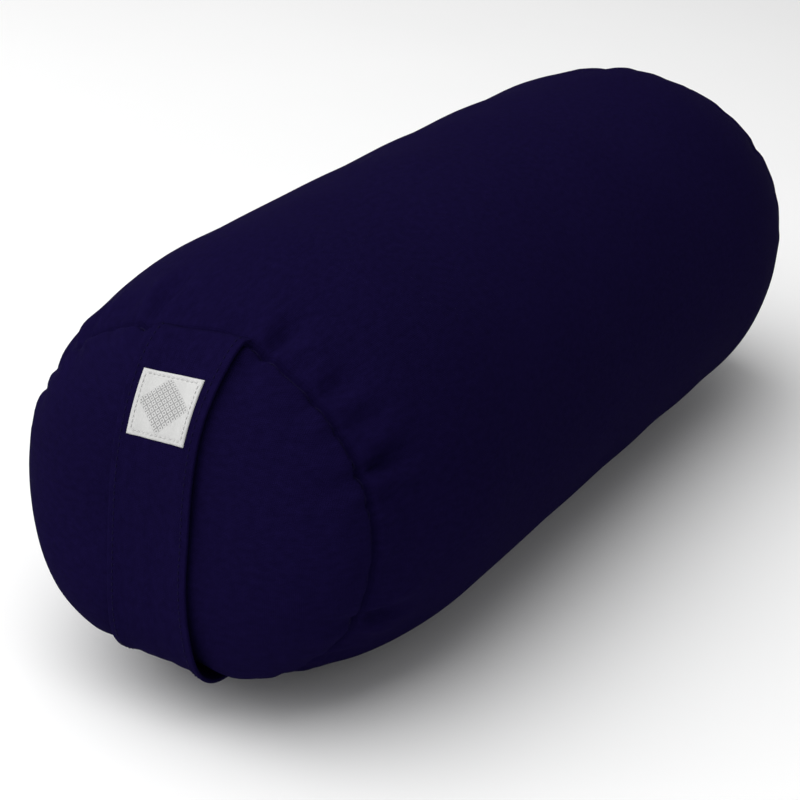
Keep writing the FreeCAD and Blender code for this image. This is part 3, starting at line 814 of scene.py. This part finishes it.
# the hem at the slot: how far each row of points lies inwards, and under the cloth, in millimetres
SLOT_HEM = ((0.35, -0.12), (0.75, -0.05), (1.0, 0.35), (1.1, 1.6), (1.1, 4.5))
CLOSE = 1e-6
TURNS = girth_columns()
GIRTH = 2 * math.pi * GIRTH_RADIUS


def lengthwise_groove(x, turn):
    """The shallow line of the lengthwise seam, from just past the zip's tapes to the end seams."""
    across = angle_gap(turn, ZIP_TURN) * ZIP_REACH
    beyond = np.clip((np.abs(x - TAPE_MIDDLE) - TAPE_HALF - 1 * MM) / GROOVE_RUN_IN, 0, 1)
    return GROOVE_DEPTH * beyond * bell(across, GROOVE_WIDTH)


def make_body_panel():
    """The body panel: a tube with a slot for the zip, whose edges are folded under."""
    rows, columns = body_rows(), len(TURNS)
    x, turn = np.meshgrid(rows, TURNS, indexing="ij")
    points = body_skin(x, turn, push=-lengthwise_groove(x, turn)).reshape(-1, 3)
    across = angle_gap(TURNS, ZIP_TURN) * ZIP_REACH
    cloth = np.stack([x.ravel(), (turn * GIRTH_RADIUS).ravel()], 1)
    centre_x = (rows[1:] + rows[:-1]) / 2
    following = np.roll(across, -1)
    in_slot = (np.abs(across + following) / 2 < SLOT_HALF) & (np.abs(across - following) < SLOT_HALF)
    cut_out = np.outer((SLOT_ENDS[0] < centre_x) & (centre_x < SLOT_ENDS[1]), in_slot).ravel()
    faces = [face for face in grid_faces(len(rows), columns, wrap_columns=True) if not cut_out[face[0]]]
    edge_rows = [i for i, place in enumerate(rows) if SLOT_ENDS[0] - CLOSE < place < SLOT_ENDS[1] + CLOSE]
    edge_columns = [j for j in range(columns) if abs(across[j]) < SLOT_HALF + CLOSE]
    edge_columns.sort(key=lambda j: across[j])
    loop = grid_rim(edge_rows, edge_columns)
    ring = np.array([i * columns + j for i, j in loop])
    out_y, out_z = section_normal(ZIP_TURN)
    inward = -np.array([0.0, out_y, out_z])
    away = np.zeros((len(loop), 3))
    for n, (i, j) in enumerate(loop):
        if abs(across[j]) > SLOT_HALF - CLOSE:
            away[n] -= ZIP_DOWN * np.sign(across[j])
        if i in (edge_rows[0], edge_rows[-1]):
            away[n, 0] += -1 if i == edge_rows[0] else 1
    index = np.concatenate([ring, len(points) + np.arange(len(SLOT_HEM) * len(ring))])
    faces += renumbered(grid_faces(len(SLOT_HEM) + 1, len(ring), wrap_columns=True), index)
    hem = [points[ring] + inward * depth * MM + away * under * MM for depth, under in SLOT_HEM]
    cloth = np.concatenate([cloth, *(cloth[ring] + [0, depth * MM] for depth, _ in SLOT_HEM)])
    piece = add_piece("cover_body", np.concatenate([points, *hem]), faces)
    set_cloth_uv(piece, cloth, period=GIRTH)
    return piece


def make_end_panel(end, inset=0.0):
    """An end panel's points, faces and cloth coordinates, as rings round its apex."""
    lifts = cap_rows()
    lift, turn = np.meshgrid(lifts, TURNS, indexing="ij")
    points = cap_skin(end, lift, turn, inset).reshape(-1, 3)
    apex = cap_skin(end, math.pi / 2, 0.0, inset).reshape(1, 3)
    radius = np.cos(lift) * GIRTH_RADIUS * SEAM_RATIO * CAP_CLOTH
    cloth = np.stack([radius * np.cos(turn), radius * np.sin(turn)], -1).reshape(-1, 2)
    faces = grid_faces(len(lifts), len(TURNS), wrap_columns=True)
    last = (len(lifts) - 1) * len(TURNS)
    faces += [(last + j, last + (j + 1) % len(TURNS), len(points)) for j in range(len(TURNS))]
    if end == "handle":
        faces = [face[::-1] for face in faces]
    return np.concatenate([points, apex]), faces, np.concatenate([cloth, [[0, 0]]])


def seam_path(end):
    """A closed path along an end seam, at the floor of its groove."""
    return body_skin(SEAM_X[end], np.linspace(0, 2 * math.pi, 361), push=CORD_PUSH)


def make_inner_layer(name, inset):
    """A closed layer inside the cover, which follows the same puckers."""
    rows = body_rows()
    x, turn = np.meshgrid(rows, TURNS, indexing="ij")
    points = [body_skin(x, turn, inset).reshape(-1, 3)]
    faces = grid_faces(len(rows), len(TURNS), wrap_columns=True)
    for end, row in (("handle", 0), ("plain", len(rows) - 1)):
        count = sum(len(p) for p in points)
        cap_points, cap_faces, _ = make_end_panel(end, inset)
        points.append(cap_points[len(TURNS):])
        seam = [row * len(TURNS) + j for j in range(len(TURNS))]
        index = np.concatenate([seam, count + np.arange(len(cap_points) - len(TURNS))])
        faces += renumbered(cap_faces, index)
    return add_piece(name, np.concatenate(points), faces)


# ---------------------------------------------------------------- the carry strap and its label
STRAP_THICKNESS = 2.3 * MM
STRAP_FLARE = 1.1 * MM  # of the strap's free edge, low down
STRAP_CURL = 0.35 * MM  # of both edges, away from the end panel
STRAP_FLAT = 0.965  # share of the half width that is flat, inside the rounded edges
STRAP_WEAVE_HALF = 21.5 * MM
STRAP_HEM = 3.5 * MM  # from the strap's edge to its stitching
STRAP_ANGLES = np.linspace(89.2, -89.2, 132)
LABEL_ANGLES = (31.1, 55.5)
LABEL_HALF = 14.9 * MM
LABEL_THICKNESS = 0.7 * MM
LABEL_LIFT = 0.05 * MM  # clear of the strap's face
LABEL_HEM = 1.9 * MM
LABEL_SKEW = -0.7  # degrees round the end, from the label's middle to its side


def smooth_share(value):
    value = np.clip(value, 0, 1)
    return value * value * (3 - 2 * value)


def strap_centre(angle):
    """Where the strap's middle line lies across the cushion, for an angle over the end in degrees."""
    lean = -0.3 - 2.8 * smooth_share((-angle - 5) / 35) - 1.2 * smooth_share((angle - 35) / 30)
    return lean * MM


def strap_width(angle):
    return (42.6 + 5.0 * smooth_share((-angle - 5) / 45) + 1.0 * smooth_share((angle - 35) / 30)) * MM


def over_end(angle, height):
    """Points in the X-Z plane at a height above the handle end's crown, with the outward direction."""
    across = HALF_HEIGHT * SEAM_RATIO
    bend = np.radians(angle)
    x = -CROWN * np.cos(bend)
    z = across * np.sin(bend)
    out_x, out_z = x / CROWN ** 2, z / across ** 2
    size = np.hypot(out_x, out_z)
    out_x, out_z = out_x / size, out_z / size
    belly = end_belly(np.abs(np.sin(bend)), np.sign(angle) * math.pi / 2)
    x = SEAM_X["handle"] + x - belly + out_x * height
    return np.stack([x, CENTRE_Z + z + out_z * height], -1), out_x, out_z


def strap_gap(angle):
    """Space between the strap's inner face and the end panel's crown."""
    return (0.35 + 1.0 * smooth_share((82 - np.abs(angle)) / 30)) * MM


def strap_surface(angle, across, rise):
    """Points of the strap and their outward directions.

    across runs from -1 to 1 over the strap's width, and rise from 0 inside to 1 outside.
    """
    angle, across, rise = as_arrays(angle, across, rise)
    flare = STRAP_FLARE * smooth_share((-across - 0.55) / 0.45) * smooth_share((-angle + 8) / 30)
    flare = flare * smooth_share((angle + 80) / 30)
    curl = STRAP_CURL * across ** 2 * smooth_share((80 - np.abs(angle)) / 25)
    crease = 0.16 * np.sin(9.2 * across + 0.021 * angle + 0.7) + 0.12 * np.sin(15.5 * across - 0.03 * angle)
    wave = 0.14 * np.sin(angle * 0.11 + 2.2 * across)
    fixed = smooth_share((86 - np.abs(angle)) / 14)
    height = strap_gap(angle) + rise * STRAP_THICKNESS + flare + (crease + wave) * MM * fixed + curl
    free = smooth_share((89.5 - np.abs(angle)) / np.where(angle < 0, 26, 9))
    height = free * height + (1 - free) * (1.2 * rise - 0.9) * MM
    y = strap_centre(angle) + across * strap_width(angle) / 2
    steep = np.abs(np.sin(np.radians(angle)))
    off_middle = y / (HALF_WIDTH * SEAM_RATIO)
    height = height - np.where(angle < 0, steep ** 4, 0) * strap_tuck(-math.pi / 2 + off_middle)
    place, out_x, out_z = over_end(angle, height)
    pull = seam_pull(math.pi / 2 - off_middle) * np.where(angle > 0, steep ** 6, 0)
    place = place - np.stack([pull, PULL_DROP * pull], -1)
    outward = np.stack([out_x, np.zeros_like(out_x), out_z], -1)
    return np.stack([place[..., 0], y, place[..., 1]], -1), outward


def make_strap():
    """The strap: a band with rounded edges, swept over the end from seam to seam."""
    edge = np.radians(np.linspace(-60, 60, 4))
    flat = np.linspace(-STRAP_FLAT, STRAP_FLAT, 34)
    half = 1 - STRAP_FLAT
    section = [(a, 1.0) for a in flat]
    section += [(STRAP_FLAT + half * math.cos(e), 0.5 - 0.5 * math.sin(e)) for e in edge]
    section += [(a, 0.0) for a in flat[::-1]]
    section += [(-STRAP_FLAT - half * math.cos(e), 0.5 + 0.5 * math.sin(e)) for e in edge]
    section = np.array(section)
    angle, index = np.meshgrid(STRAP_ANGLES, np.arange(len(section)), indexing="ij")
    points, _ = strap_surface(angle, section[index, 0], section[index, 1])
    count = len(section)
    faces = grid_faces(len(STRAP_ANGLES), count, wrap_columns=True)
    faces.append(tuple(range(count))[::-1])
    faces.append(tuple(range((len(STRAP_ANGLES) - 1) * count, len(STRAP_ANGLES) * count)))
    along = arc_lengths(strap_surface(STRAP_ANGLES, 0, 1)[0])
    cloth = np.stack([np.repeat(along, count), (section[index, 0] * STRAP_WEAVE_HALF).ravel()], 1)
    piece = add_piece("carry_strap", points.reshape(-1, 3), faces)
    set_cloth_uv(piece, cloth)
    return piece, along[-1]


def make_strap_stitching():
    shapes = []
    angles = np.linspace(86, -86, 400)
    for side in (-1, 1):
        across = side * (1 - STRAP_HEM / (strap_width(angles) / 2))
        place, outward = strap_surface(angles, across, 1)
        shapes += stitch_row(place + outward * STITCH_LIFT, outward)
    return add_piece("carry_strap_stitching", *merge(shapes))


def label_point(u, v, height):
    """A point over the label: u and v run from -1 to 1 across and up it, height is above the strap."""
    u, v, height = as_arrays(u, v, height)
    angle = LABEL_ANGLES[0] + (v + 1) / 2 * (LABEL_ANGLES[1] - LABEL_ANGLES[0]) + LABEL_SKEW * u
    across = (u * LABEL_HALF + (-0.9 - 0.5 * v) * MM - strap_centre(angle)) / (strap_width(angle) / 2)
    place, outward = strap_surface(angle, across, 1)
    return place + outward * height[..., None], outward


def make_label():
    """The label: a square of thick woven cloth with rounded edges, sunk a little at its stitching."""
    steps = np.linspace(-1, 1, 45)
    u, v = np.meshgrid(steps, steps, indexing="ij")
    inside = (1 - np.maximum(np.abs(u), np.abs(v))) * LABEL_HALF
    fold = np.sqrt(1 - (1 - np.clip(inside / LABEL_THICKNESS, 0, 1)) ** 2)
    dip = 0.22 * MM * bell(inside - LABEL_HEM, 0.7 * MM)
    puff = 0.12 * MM * smooth_share((inside - 3 * MM) / (5 * MM))
    top, _ = label_point(u, v, LABEL_LIFT + LABEL_THICKNESS * (0.35 + 0.65 * fold) - dip + puff)
    low, _ = label_point(u, v, LABEL_LIFT)
    count = len(steps)
    faces = grid_faces(count, count)
    faces += [tuple(k + count * count for k in face[::-1]) for face in faces]
    rim = [i * count + j for i, j in grid_rim(range(count), range(count))]
    for n, a in enumerate(rim):
        b = rim[(n + 1) % len(rim)]
        faces.append((b, a, a + count * count, b + count * count))
    cloth = np.stack([u.ravel(), v.ravel()], 1) * LABEL_HALF
    piece = add_piece("label", np.concatenate([top.reshape(-1, 3), low.reshape(-1, 3)]), faces)
    set_cloth_uv(piece, np.concatenate([cloth, cloth]))
    return piece


def make_label_stitching():
    reach = 1 - LABEL_HEM / LABEL_HALF
    along = np.linspace(-reach, reach, 60)
    sides = [(along, -reach), (reach, along), (along[::-1], reach), (-reach, along[::-1])]
    shapes = []
    for u, v in sides:
        u, v = np.broadcast_arrays(u, v)
        path, outward = label_point(u, v, LABEL_THICKNESS - STITCH_LIFT)
        shapes += stitch_row(path, outward, length=1.7 * MM, gap=0.6 * MM, radius=0.2 * MM)
    return add_piece("label_stitches", *merge(shapes))


# ---------------------------------------------------------------- the zip
def zip_frame(points, x=0.0):
    """Points given along, across and up the zip, put in the row frame."""
    points = np.asarray(points, float)
    base = np.array([x, ZIP_Y, ZIP_Z])
    return base + points @ np.stack([[1, 0, 0], ZIP_DOWN, ZIP_OUT])


COIL_PITCH = 1.36 * MM
COIL_STEPS = 12
COIL_YARN = 0.31 * MM
COIL_ACROSS = (1.85, 1.26)  # middle and half width of a row's loops, in millimetres
COIL_UP = (-0.55, 0.78)  # and their middle and half height
TAPE_EDGE = (0.26 * MM, 1.7 * MM)  # across the zip, clear of the slider's wedge
TAPE_EDGE_HEIGHT = (-2.02 * MM, -1.72 * MM)  # between the coil and the slider's lower plate


def make_coil(side, name):
    """One row of the zip's coil, a flattened helix of stiff yarn, and the edge of tape that it is sewn to."""
    turns = int((CHAIN[1] - CHAIN[0] - 1.5 * MM) / COIL_PITCH)
    phase = np.arange(turns * COIL_STEPS + 1) / COIL_STEPS
    along = CHAIN[0] + 0.7 * MM + (phase + (0.5 if side > 0 else 0)) * COIL_PITCH
    bend = 2 * math.pi * phase
    across = side * (COIL_ACROSS[0] + COIL_ACROSS[1] * np.cos(bend)) * MM
    up = (COIL_UP[0] + COIL_UP[1] * np.sin(bend)) * MM
    coil = tube_along(zip_frame(np.stack([along, across, up], 1)), COIL_YARN, sides=6)
    near, far = sorted(side * place for place in TAPE_EDGE)
    low, high = SLOT_ENDS[0] - 1 * MM, SLOT_ENDS[1] + 1 * MM
    outline = [(low, near), (high, near), (high, far), (low, far)]
    edge, faces = rounded_solid(outline, *TAPE_EDGE_HEIGHT, 0.08 * MM)
    return add_piece(name, *merge([coil, (zip_frame(edge), faces)]))


def make_zip_stitching():
    """Two long rows of stitches beside the zip and a short one across each end."""
    shapes = []
    low, high = ZIP_STITCH_ENDS
    x = np.linspace(low, high, 300)
    outward = np.tile(ZIP_OUT, (300, 1))
    for side in (-1, 1):
        path = body_skin(x, ZIP_TURN + side * ZIP_HEM / ZIP_REACH, push=STITCH_LIFT)
        shapes += stitch_row(path, outward)
    across = np.linspace(-ZIP_HEM, ZIP_HEM, 60)
    for place in (low, high):
        path = body_skin(place, ZIP_TURN + across / ZIP_REACH, push=STITCH_LIFT)
        shapes += stitch_row(path, outward[:60], length=1.8 * MM, gap=0.7 * MM)
    return add_piece("zip_stitching", *merge(shapes))


WELD = 0.002 * MM  # points closer than this become one


def rounded_solid(outline, low, high, rounding):
    """A flat solid with the given outline, its edges rounded."""
    mesh = bmesh.new()
    corners = [mesh.verts.new((x, y, low)) for x, y in outline]
    base = mesh.faces.new(corners)
    top = bmesh.ops.extrude_face_region(mesh, geom=[base])["geom"]
    raised = [item for item in top if isinstance(item, bmesh.types.BMVert)]
    bmesh.ops.translate(mesh, verts=raised, vec=(0, 0, high - low))
    bmesh.ops.recalc_face_normals(mesh, faces=mesh.faces)
    bmesh.ops.bevel(mesh, geom=list(mesh.edges), offset=rounding, segments=3, profile=0.5, affect="EDGES",
                    clamp_overlap=True)
    bmesh.ops.remove_doubles(mesh, verts=mesh.verts, dist=WELD)
    points = np.array([v.co for v in mesh.verts])
    mesh.verts.index_update()
    faces = [tuple(v.index for v in face.verts) for face in mesh.faces]
    mesh.free()
    return points, faces


def in_mm(outline):
    return [(x * MM, y * MM) for x, y in outline]


def tab_outline(half_widths, length):
    """Outline of a tab: half widths at even places along its length, mirrored."""
    x = np.linspace(-length / 2, length / 2, len(half_widths))
    side = list(zip(x, half_widths))
    return side + [(a, -b) for a, b in side[::-1]]


SLIDER_LENGTH = 8.8 * MM
SLIDER_PLATES = ((-2.95 * MM, -2.1 * MM), (0.85 * MM, 1.65 * MM))  # heights of the plates' faces
PLATE_ROUNDING = 0.28 * MM
WEDGE_HEIGHTS = (-2.5 * MM, 1.2 * MM)
LUG_HALF = 0.36 * MM  # half of a lug's thickness
LUG_ACROSS = 1.5 * MM  # from the middle of the slider to a lug
SHIELD = np.array([2.05, 2.5, 2.75, 2.95, 3.15, 3.35, 3.45, 3.4, 3.1]) * MM
WEDGE = [(1.4, -0.15), (4.3, -0.18), (4.3, 0.18), (1.4, 0.15)]
LUG = [(-1.5, 1.4), (1.5, 1.4), (1.35, 2.4), (1.0, 3.15), (0.45, 3.5),
       (-0.45, 3.5), (-1.0, 3.15), (-1.35, 2.4)]
EYE_OUTER, EYE_INNER, EYE_HALF = 1.12 * MM, 0.6 * MM, 0.95 * MM
EYE_STEPS = 24
NECK = [(-4.6, -1.05), (-0.9, -0.85), (-0.9, 0.85), (-4.6, 1.05)]
TAB = [w * MM for w in (1.9, 2.35, 2.6, 2.66, 2.64, 2.6, 2.56, 2.5, 2.35, 1.9)]
TAB_LENGTH = 15.4 * MM
TAB_MIDDLE = 11.9 * MM  # from the pin
NECK_HALF, TAB_HALF = 0.45 * MM, 0.32 * MM  # half thicknesses
RIM_LENGTH, RIM_WIDTH = 0.93, 0.86  # of the tab's raised rim, as shares of the tab's own
RIM_RADIUS, RIM_HEIGHT = 0.22 * MM, 0.26 * MM


def make_slider():
    """The slider: two shield-shaped plates joined by a wedge, and two lugs with a pin between them."""
    outline = tab_outline(SHIELD, SLIDER_LENGTH)
    shapes = [rounded_solid(outline, *heights, PLATE_ROUNDING) for heights in SLIDER_PLATES]
    shapes.append(rounded_solid(in_mm(WEDGE), *WEDGE_HEIGHTS, 0.05 * MM))
    points, faces = rounded_solid(in_mm(LUG), -LUG_HALF, LUG_HALF, 0.14 * MM)
    for side in (-1, 1):
        standing = np.stack([points[:, 0], side * LUG_ACROSS + points[:, 2], points[:, 1]], 1)
        shapes.append((standing, [face[::-1] for face in faces]))  # standing a lug up mirrors it
    pin = [(0, y * MM, PIN_HEIGHT) for y in np.linspace(-1.9, 1.9, 9)]
    shapes.append(tube_along(pin, 0.46 * MM, sides=16))
    points, faces = merge(shapes)
    return add_piece("zip_slider_body", zip_frame(points, SLIDER_X), faces)


def make_pull():
    """The pull: an eye round the pin, a narrow neck and a flat tab with a raised rim."""
    section = ((EYE_OUTER, -EYE_HALF), (EYE_OUTER, EYE_HALF), (EYE_INNER, EYE_HALF), (EYE_INNER, -EYE_HALF))
    eye = [(radius * math.cos(bend), y, radius * math.sin(bend))
           for bend in np.linspace(0, 2 * math.pi, EYE_STEPS + 1)[:-1] for radius, y in section]
    tab = [(x - TAB_MIDDLE, y) for x, y in tab_outline(TAB, TAB_LENGTH)]
    shapes = [
        (np.array(eye), grid_faces(EYE_STEPS, 4, wrap_rows=True, wrap_columns=True)),
        rounded_solid(in_mm(NECK), -NECK_HALF, NECK_HALF, 0.18 * MM),
        rounded_solid(tab, -TAB_HALF, TAB_HALF, 0.15 * MM),
    ]
    rim = np.array([((x + TAB_MIDDLE) * RIM_LENGTH - TAB_MIDDLE, y * RIM_WIDTH, 0.0)
                    for x, y in tab + tab[:1]])
    arc = arc_lengths(rim)
    path = along_path(np.linspace(0, arc[-1], 70), arc, rim)
    for height in (-RIM_HEIGHT, RIM_HEIGHT):
        shapes.append(tube_along(path + [0, 0, height], RIM_RADIUS, sides=8))
    points, faces = merge(shapes)
    points[:, 2] += PIN_HEIGHT
    return add_piece("zip_pull_tab", zip_frame(points, SLIDER_X), faces)


def make_stop(name, middle, places, half):
    """End stops: small crimped staples with rounded edges, at these places across the zip, in millimetres."""
    outline = [(-1.3, 0.3 - half), (-1.0, -half), (1.0, -half), (1.3, 0.3 - half),
               (1.3, half - 0.3), (1.0, half), (-1.0, half), (-1.3, half - 0.3)]
    shapes = []
    for across in places:
        shifted = [(x * MM, (y + across) * MM) for x, y in outline]
        points, faces = rounded_solid(shifted, -1.1 * MM, 0.5 * MM, 0.25 * MM)
        shapes.append((zip_frame(points, middle), faces))
    return add_piece(name, *merge(shapes))


# ---------------------------------------------------------------- the assembly
INDIGO = (0.0034, 0.0020, 0.0160)
INDIGO_LIT = (0.0066, 0.0040, 0.0320)
CANVAS = canvas_material("canvas", INDIGO, INDIGO_LIT)
STRAP_CANVAS = canvas_material("strap_canvas", INDIGO, INDIGO_LIT, 0.9 * MM)
THREAD = thread_material("indigo_thread", (0.0034, 0.0022, 0.0150), (0.0085, 0.0060, 0.0360), 0.0)
LABEL_THREAD = thread_material("label_thread", (0.42, 0.42, 0.42), (0.66, 0.66, 0.65), 0.05)
TAPE = tape_material("zip_tape", (0.0036, 0.0024, 0.016), (0.008, 0.006, 0.032))
COIL = hard_material("zip_nylon", (0.0045, 0.0032, 0.018), (0.010, 0.008, 0.036), 0.5, scratch=0.15)
METAL = hard_material("zip_enamel", (0.010, 0.008, 0.030), (0.10, 0.10, 0.12), 0.36, coat=0.25)
LABEL = label_material("label_weave")
LINER = canvas_material("liner_cotton", (0.46, 0.43, 0.36), (0.66, 0.62, 0.54), 0.6 * MM, 0.1)
HULLS = hull_material("hulls")


def finish_piece(piece, material, body, slot_name, *nodes):
    """Give a piece its material and, unless body is None, its body, and hide the CAD nodes that it stands
    for. slot_name is not used.
    """
    paint(piece, material)
    if body:
        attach(piece, body)
    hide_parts(*nodes)
    return piece


body_panel = finish_piece(make_body_panel(), CANVAS, "cover", "cover_canvas", "body_panel")
for end in ("handle", "plain"):
    points, faces, cloth = make_end_panel(end)
    panel = add_piece(f"cover_{end}_end", points, faces)
    set_cloth_uv(panel, cloth)
    finish_piece(panel, CANVAS, "cover", "cover_canvas", f"{end}_end_panel")
    cord = add_piece(f"{end}_seam_cord", *tube_along(seam_path(end), CORD_RADIUS))
    finish_piece(cord, THREAD, "cover", "cover_thread", f"{end}_end_seam_thread")

seams = []
for low, high in ((SEAM_X["handle"] + 1.5 * MM, SLOT_ENDS[0] - 1 * MM),
                  (SLOT_ENDS[1] + 1 * MM, SEAM_X["plain"] - 1.5 * MM)):
    x = np.linspace(low, high, 60)
    path = body_skin(x, ZIP_TURN, push=-lengthwise_groove(x, ZIP_TURN) - 0.2 * MM)
    seams.append(tube_along(path, 0.35 * MM))
seam = add_piece("lengthwise_seam", *merge(seams))
finish_piece(seam, THREAD, "cover", "cover_thread", "lengthwise_seam_thread")

liner = make_inner_layer("insert_liner", LINER_INSET)
finish_piece(liner, LINER, "cover", "liner_cotton", "liner_tube", "liner_handle_end", "liner_plain_end",
             "liner_seam_threads")
filling = make_inner_layer("insert_hulls", FILLING_INSET)
finish_piece(filling, HULLS, "cover", "hulls", "hull_filling")

strap, strap_length = make_strap()
strap_pieces = [
    finish_piece(strap, STRAP_CANVAS, None, "cover_canvas", "handle_strap"),
    finish_piece(make_strap_stitching(), THREAD, None, "cover_thread", "handle_edge_stitching"),
    finish_piece(make_label(), LABEL, None, "label_weave", "label_patch"),
    finish_piece(make_label_stitching(), LABEL_THREAD, None, "label_thread", "label_stitching"),
]
for piece in strap_pieces:
    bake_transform(piece)

for side, row in ((-1, "upper"), (1, "lower")):
    paint(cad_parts[f"zipper_tape_{row}"], TAPE)
    coil = make_coil(side, f"zip_coil_{row}")
    finish_piece(coil, COIL, "cover", "zip_coil", f"zipper_coil_{row}")
finish_piece(make_stop("zip_top_stops", CHAIN[1] + 1.5 * MM, (-2.0, 2.0), 1.1), METAL, "cover", "zip_metal",
             "zipper_top_stops")
finish_piece(make_stop("zip_bottom_stop", CHAIN[0] - 1.5 * MM, (0.0,), 3.0), METAL, "cover", "zip_metal",
             "zipper_bottom_stop")
finish_piece(make_zip_stitching(), THREAD, "cover", "cover_thread", "zipper_topstitching")
finish_piece(make_slider(), METAL, "zip_slider", "zip_metal", "zipper_slider")
finish_piece(make_pull(), METAL, "zip_pull", "zip_metal", "zipper_pull")

# ---------------------------------------------------------------- floor, light and camera
floor = add_piece("floor", [(-6, -6, 0), (6, -6, 0), (6, 6, 0), (-6, 6, 0)], [(0, 1, 2, 3)])
paint(floor, floor_material("pale_floor"))

world = bpy.data.worlds.new("studio")
world.use_nodes = True
world.node_tree.nodes["Background"].inputs["Color"].default_value = (1, 1, 1, 1)
world.node_tree.nodes["Background"].inputs["Strength"].default_value = 0.34
bpy.context.scene.world = world
AIM = Vector((-0.0304, 0.0192, 0.0612))  # what the lights and the camera point at
CAMERA_ANGLES = (-62.937, 25.007, 5.198)  # azimuth, elevation and roll, in degrees
CAMERA_DISTANCE = 1.12604
FOCAL_LENGTH, SENSOR_WIDTH = 89.99, 36  # in millimetres


def add_light(name, place, size, power):
    """A square soft light that faces the object."""
    data = bpy.data.lights.new(name, "AREA")
    data.size = size
    data.energy = power
    light = bpy.data.objects.new(name, data)
    light.location = place
    light.rotation_euler = (AIM - Vector(place)).to_track_quat("-Z", "Y").to_euler()
    bpy.context.scene.collection.objects.link(light)


add_light("overhead", place=(-0.9, 0.7, 2.4), size=3.6, power=97)
add_light("left_fill", place=(-2.2, 0.5, 0.9), size=1.6, power=8)

azimuth, elevation, roll = (math.radians(a) for a in CAMERA_ANGLES)
back = Vector((math.sin(azimuth) * math.cos(elevation), -math.cos(azimuth) * math.cos(elevation),
               math.sin(elevation)))
right = Vector((math.cos(azimuth), math.sin(azimuth), 0))
up = back.cross(right)
rolled_right = right * math.cos(roll) + up * math.sin(roll)
rolled_up = up * math.cos(roll) - right * math.sin(roll)
camera_data = bpy.data.cameras.new("camera")
camera_data.lens = FOCAL_LENGTH
camera_data.sensor_width = SENSOR_WIDTH
camera = bpy.data.objects.new("camera", camera_data)
camera.matrix_world = Matrix.Translation(AIM + back * CAMERA_DISTANCE) @ Matrix(
    [[rolled_right[i], rolled_up[i], back[i]] for i in range(3)]).to_4x4()
bpy.context.scene.collection.objects.link(camera)
bpy.context.scene.camera = camera
bpy.context.scene.view_settings.view_transform = "Standard"
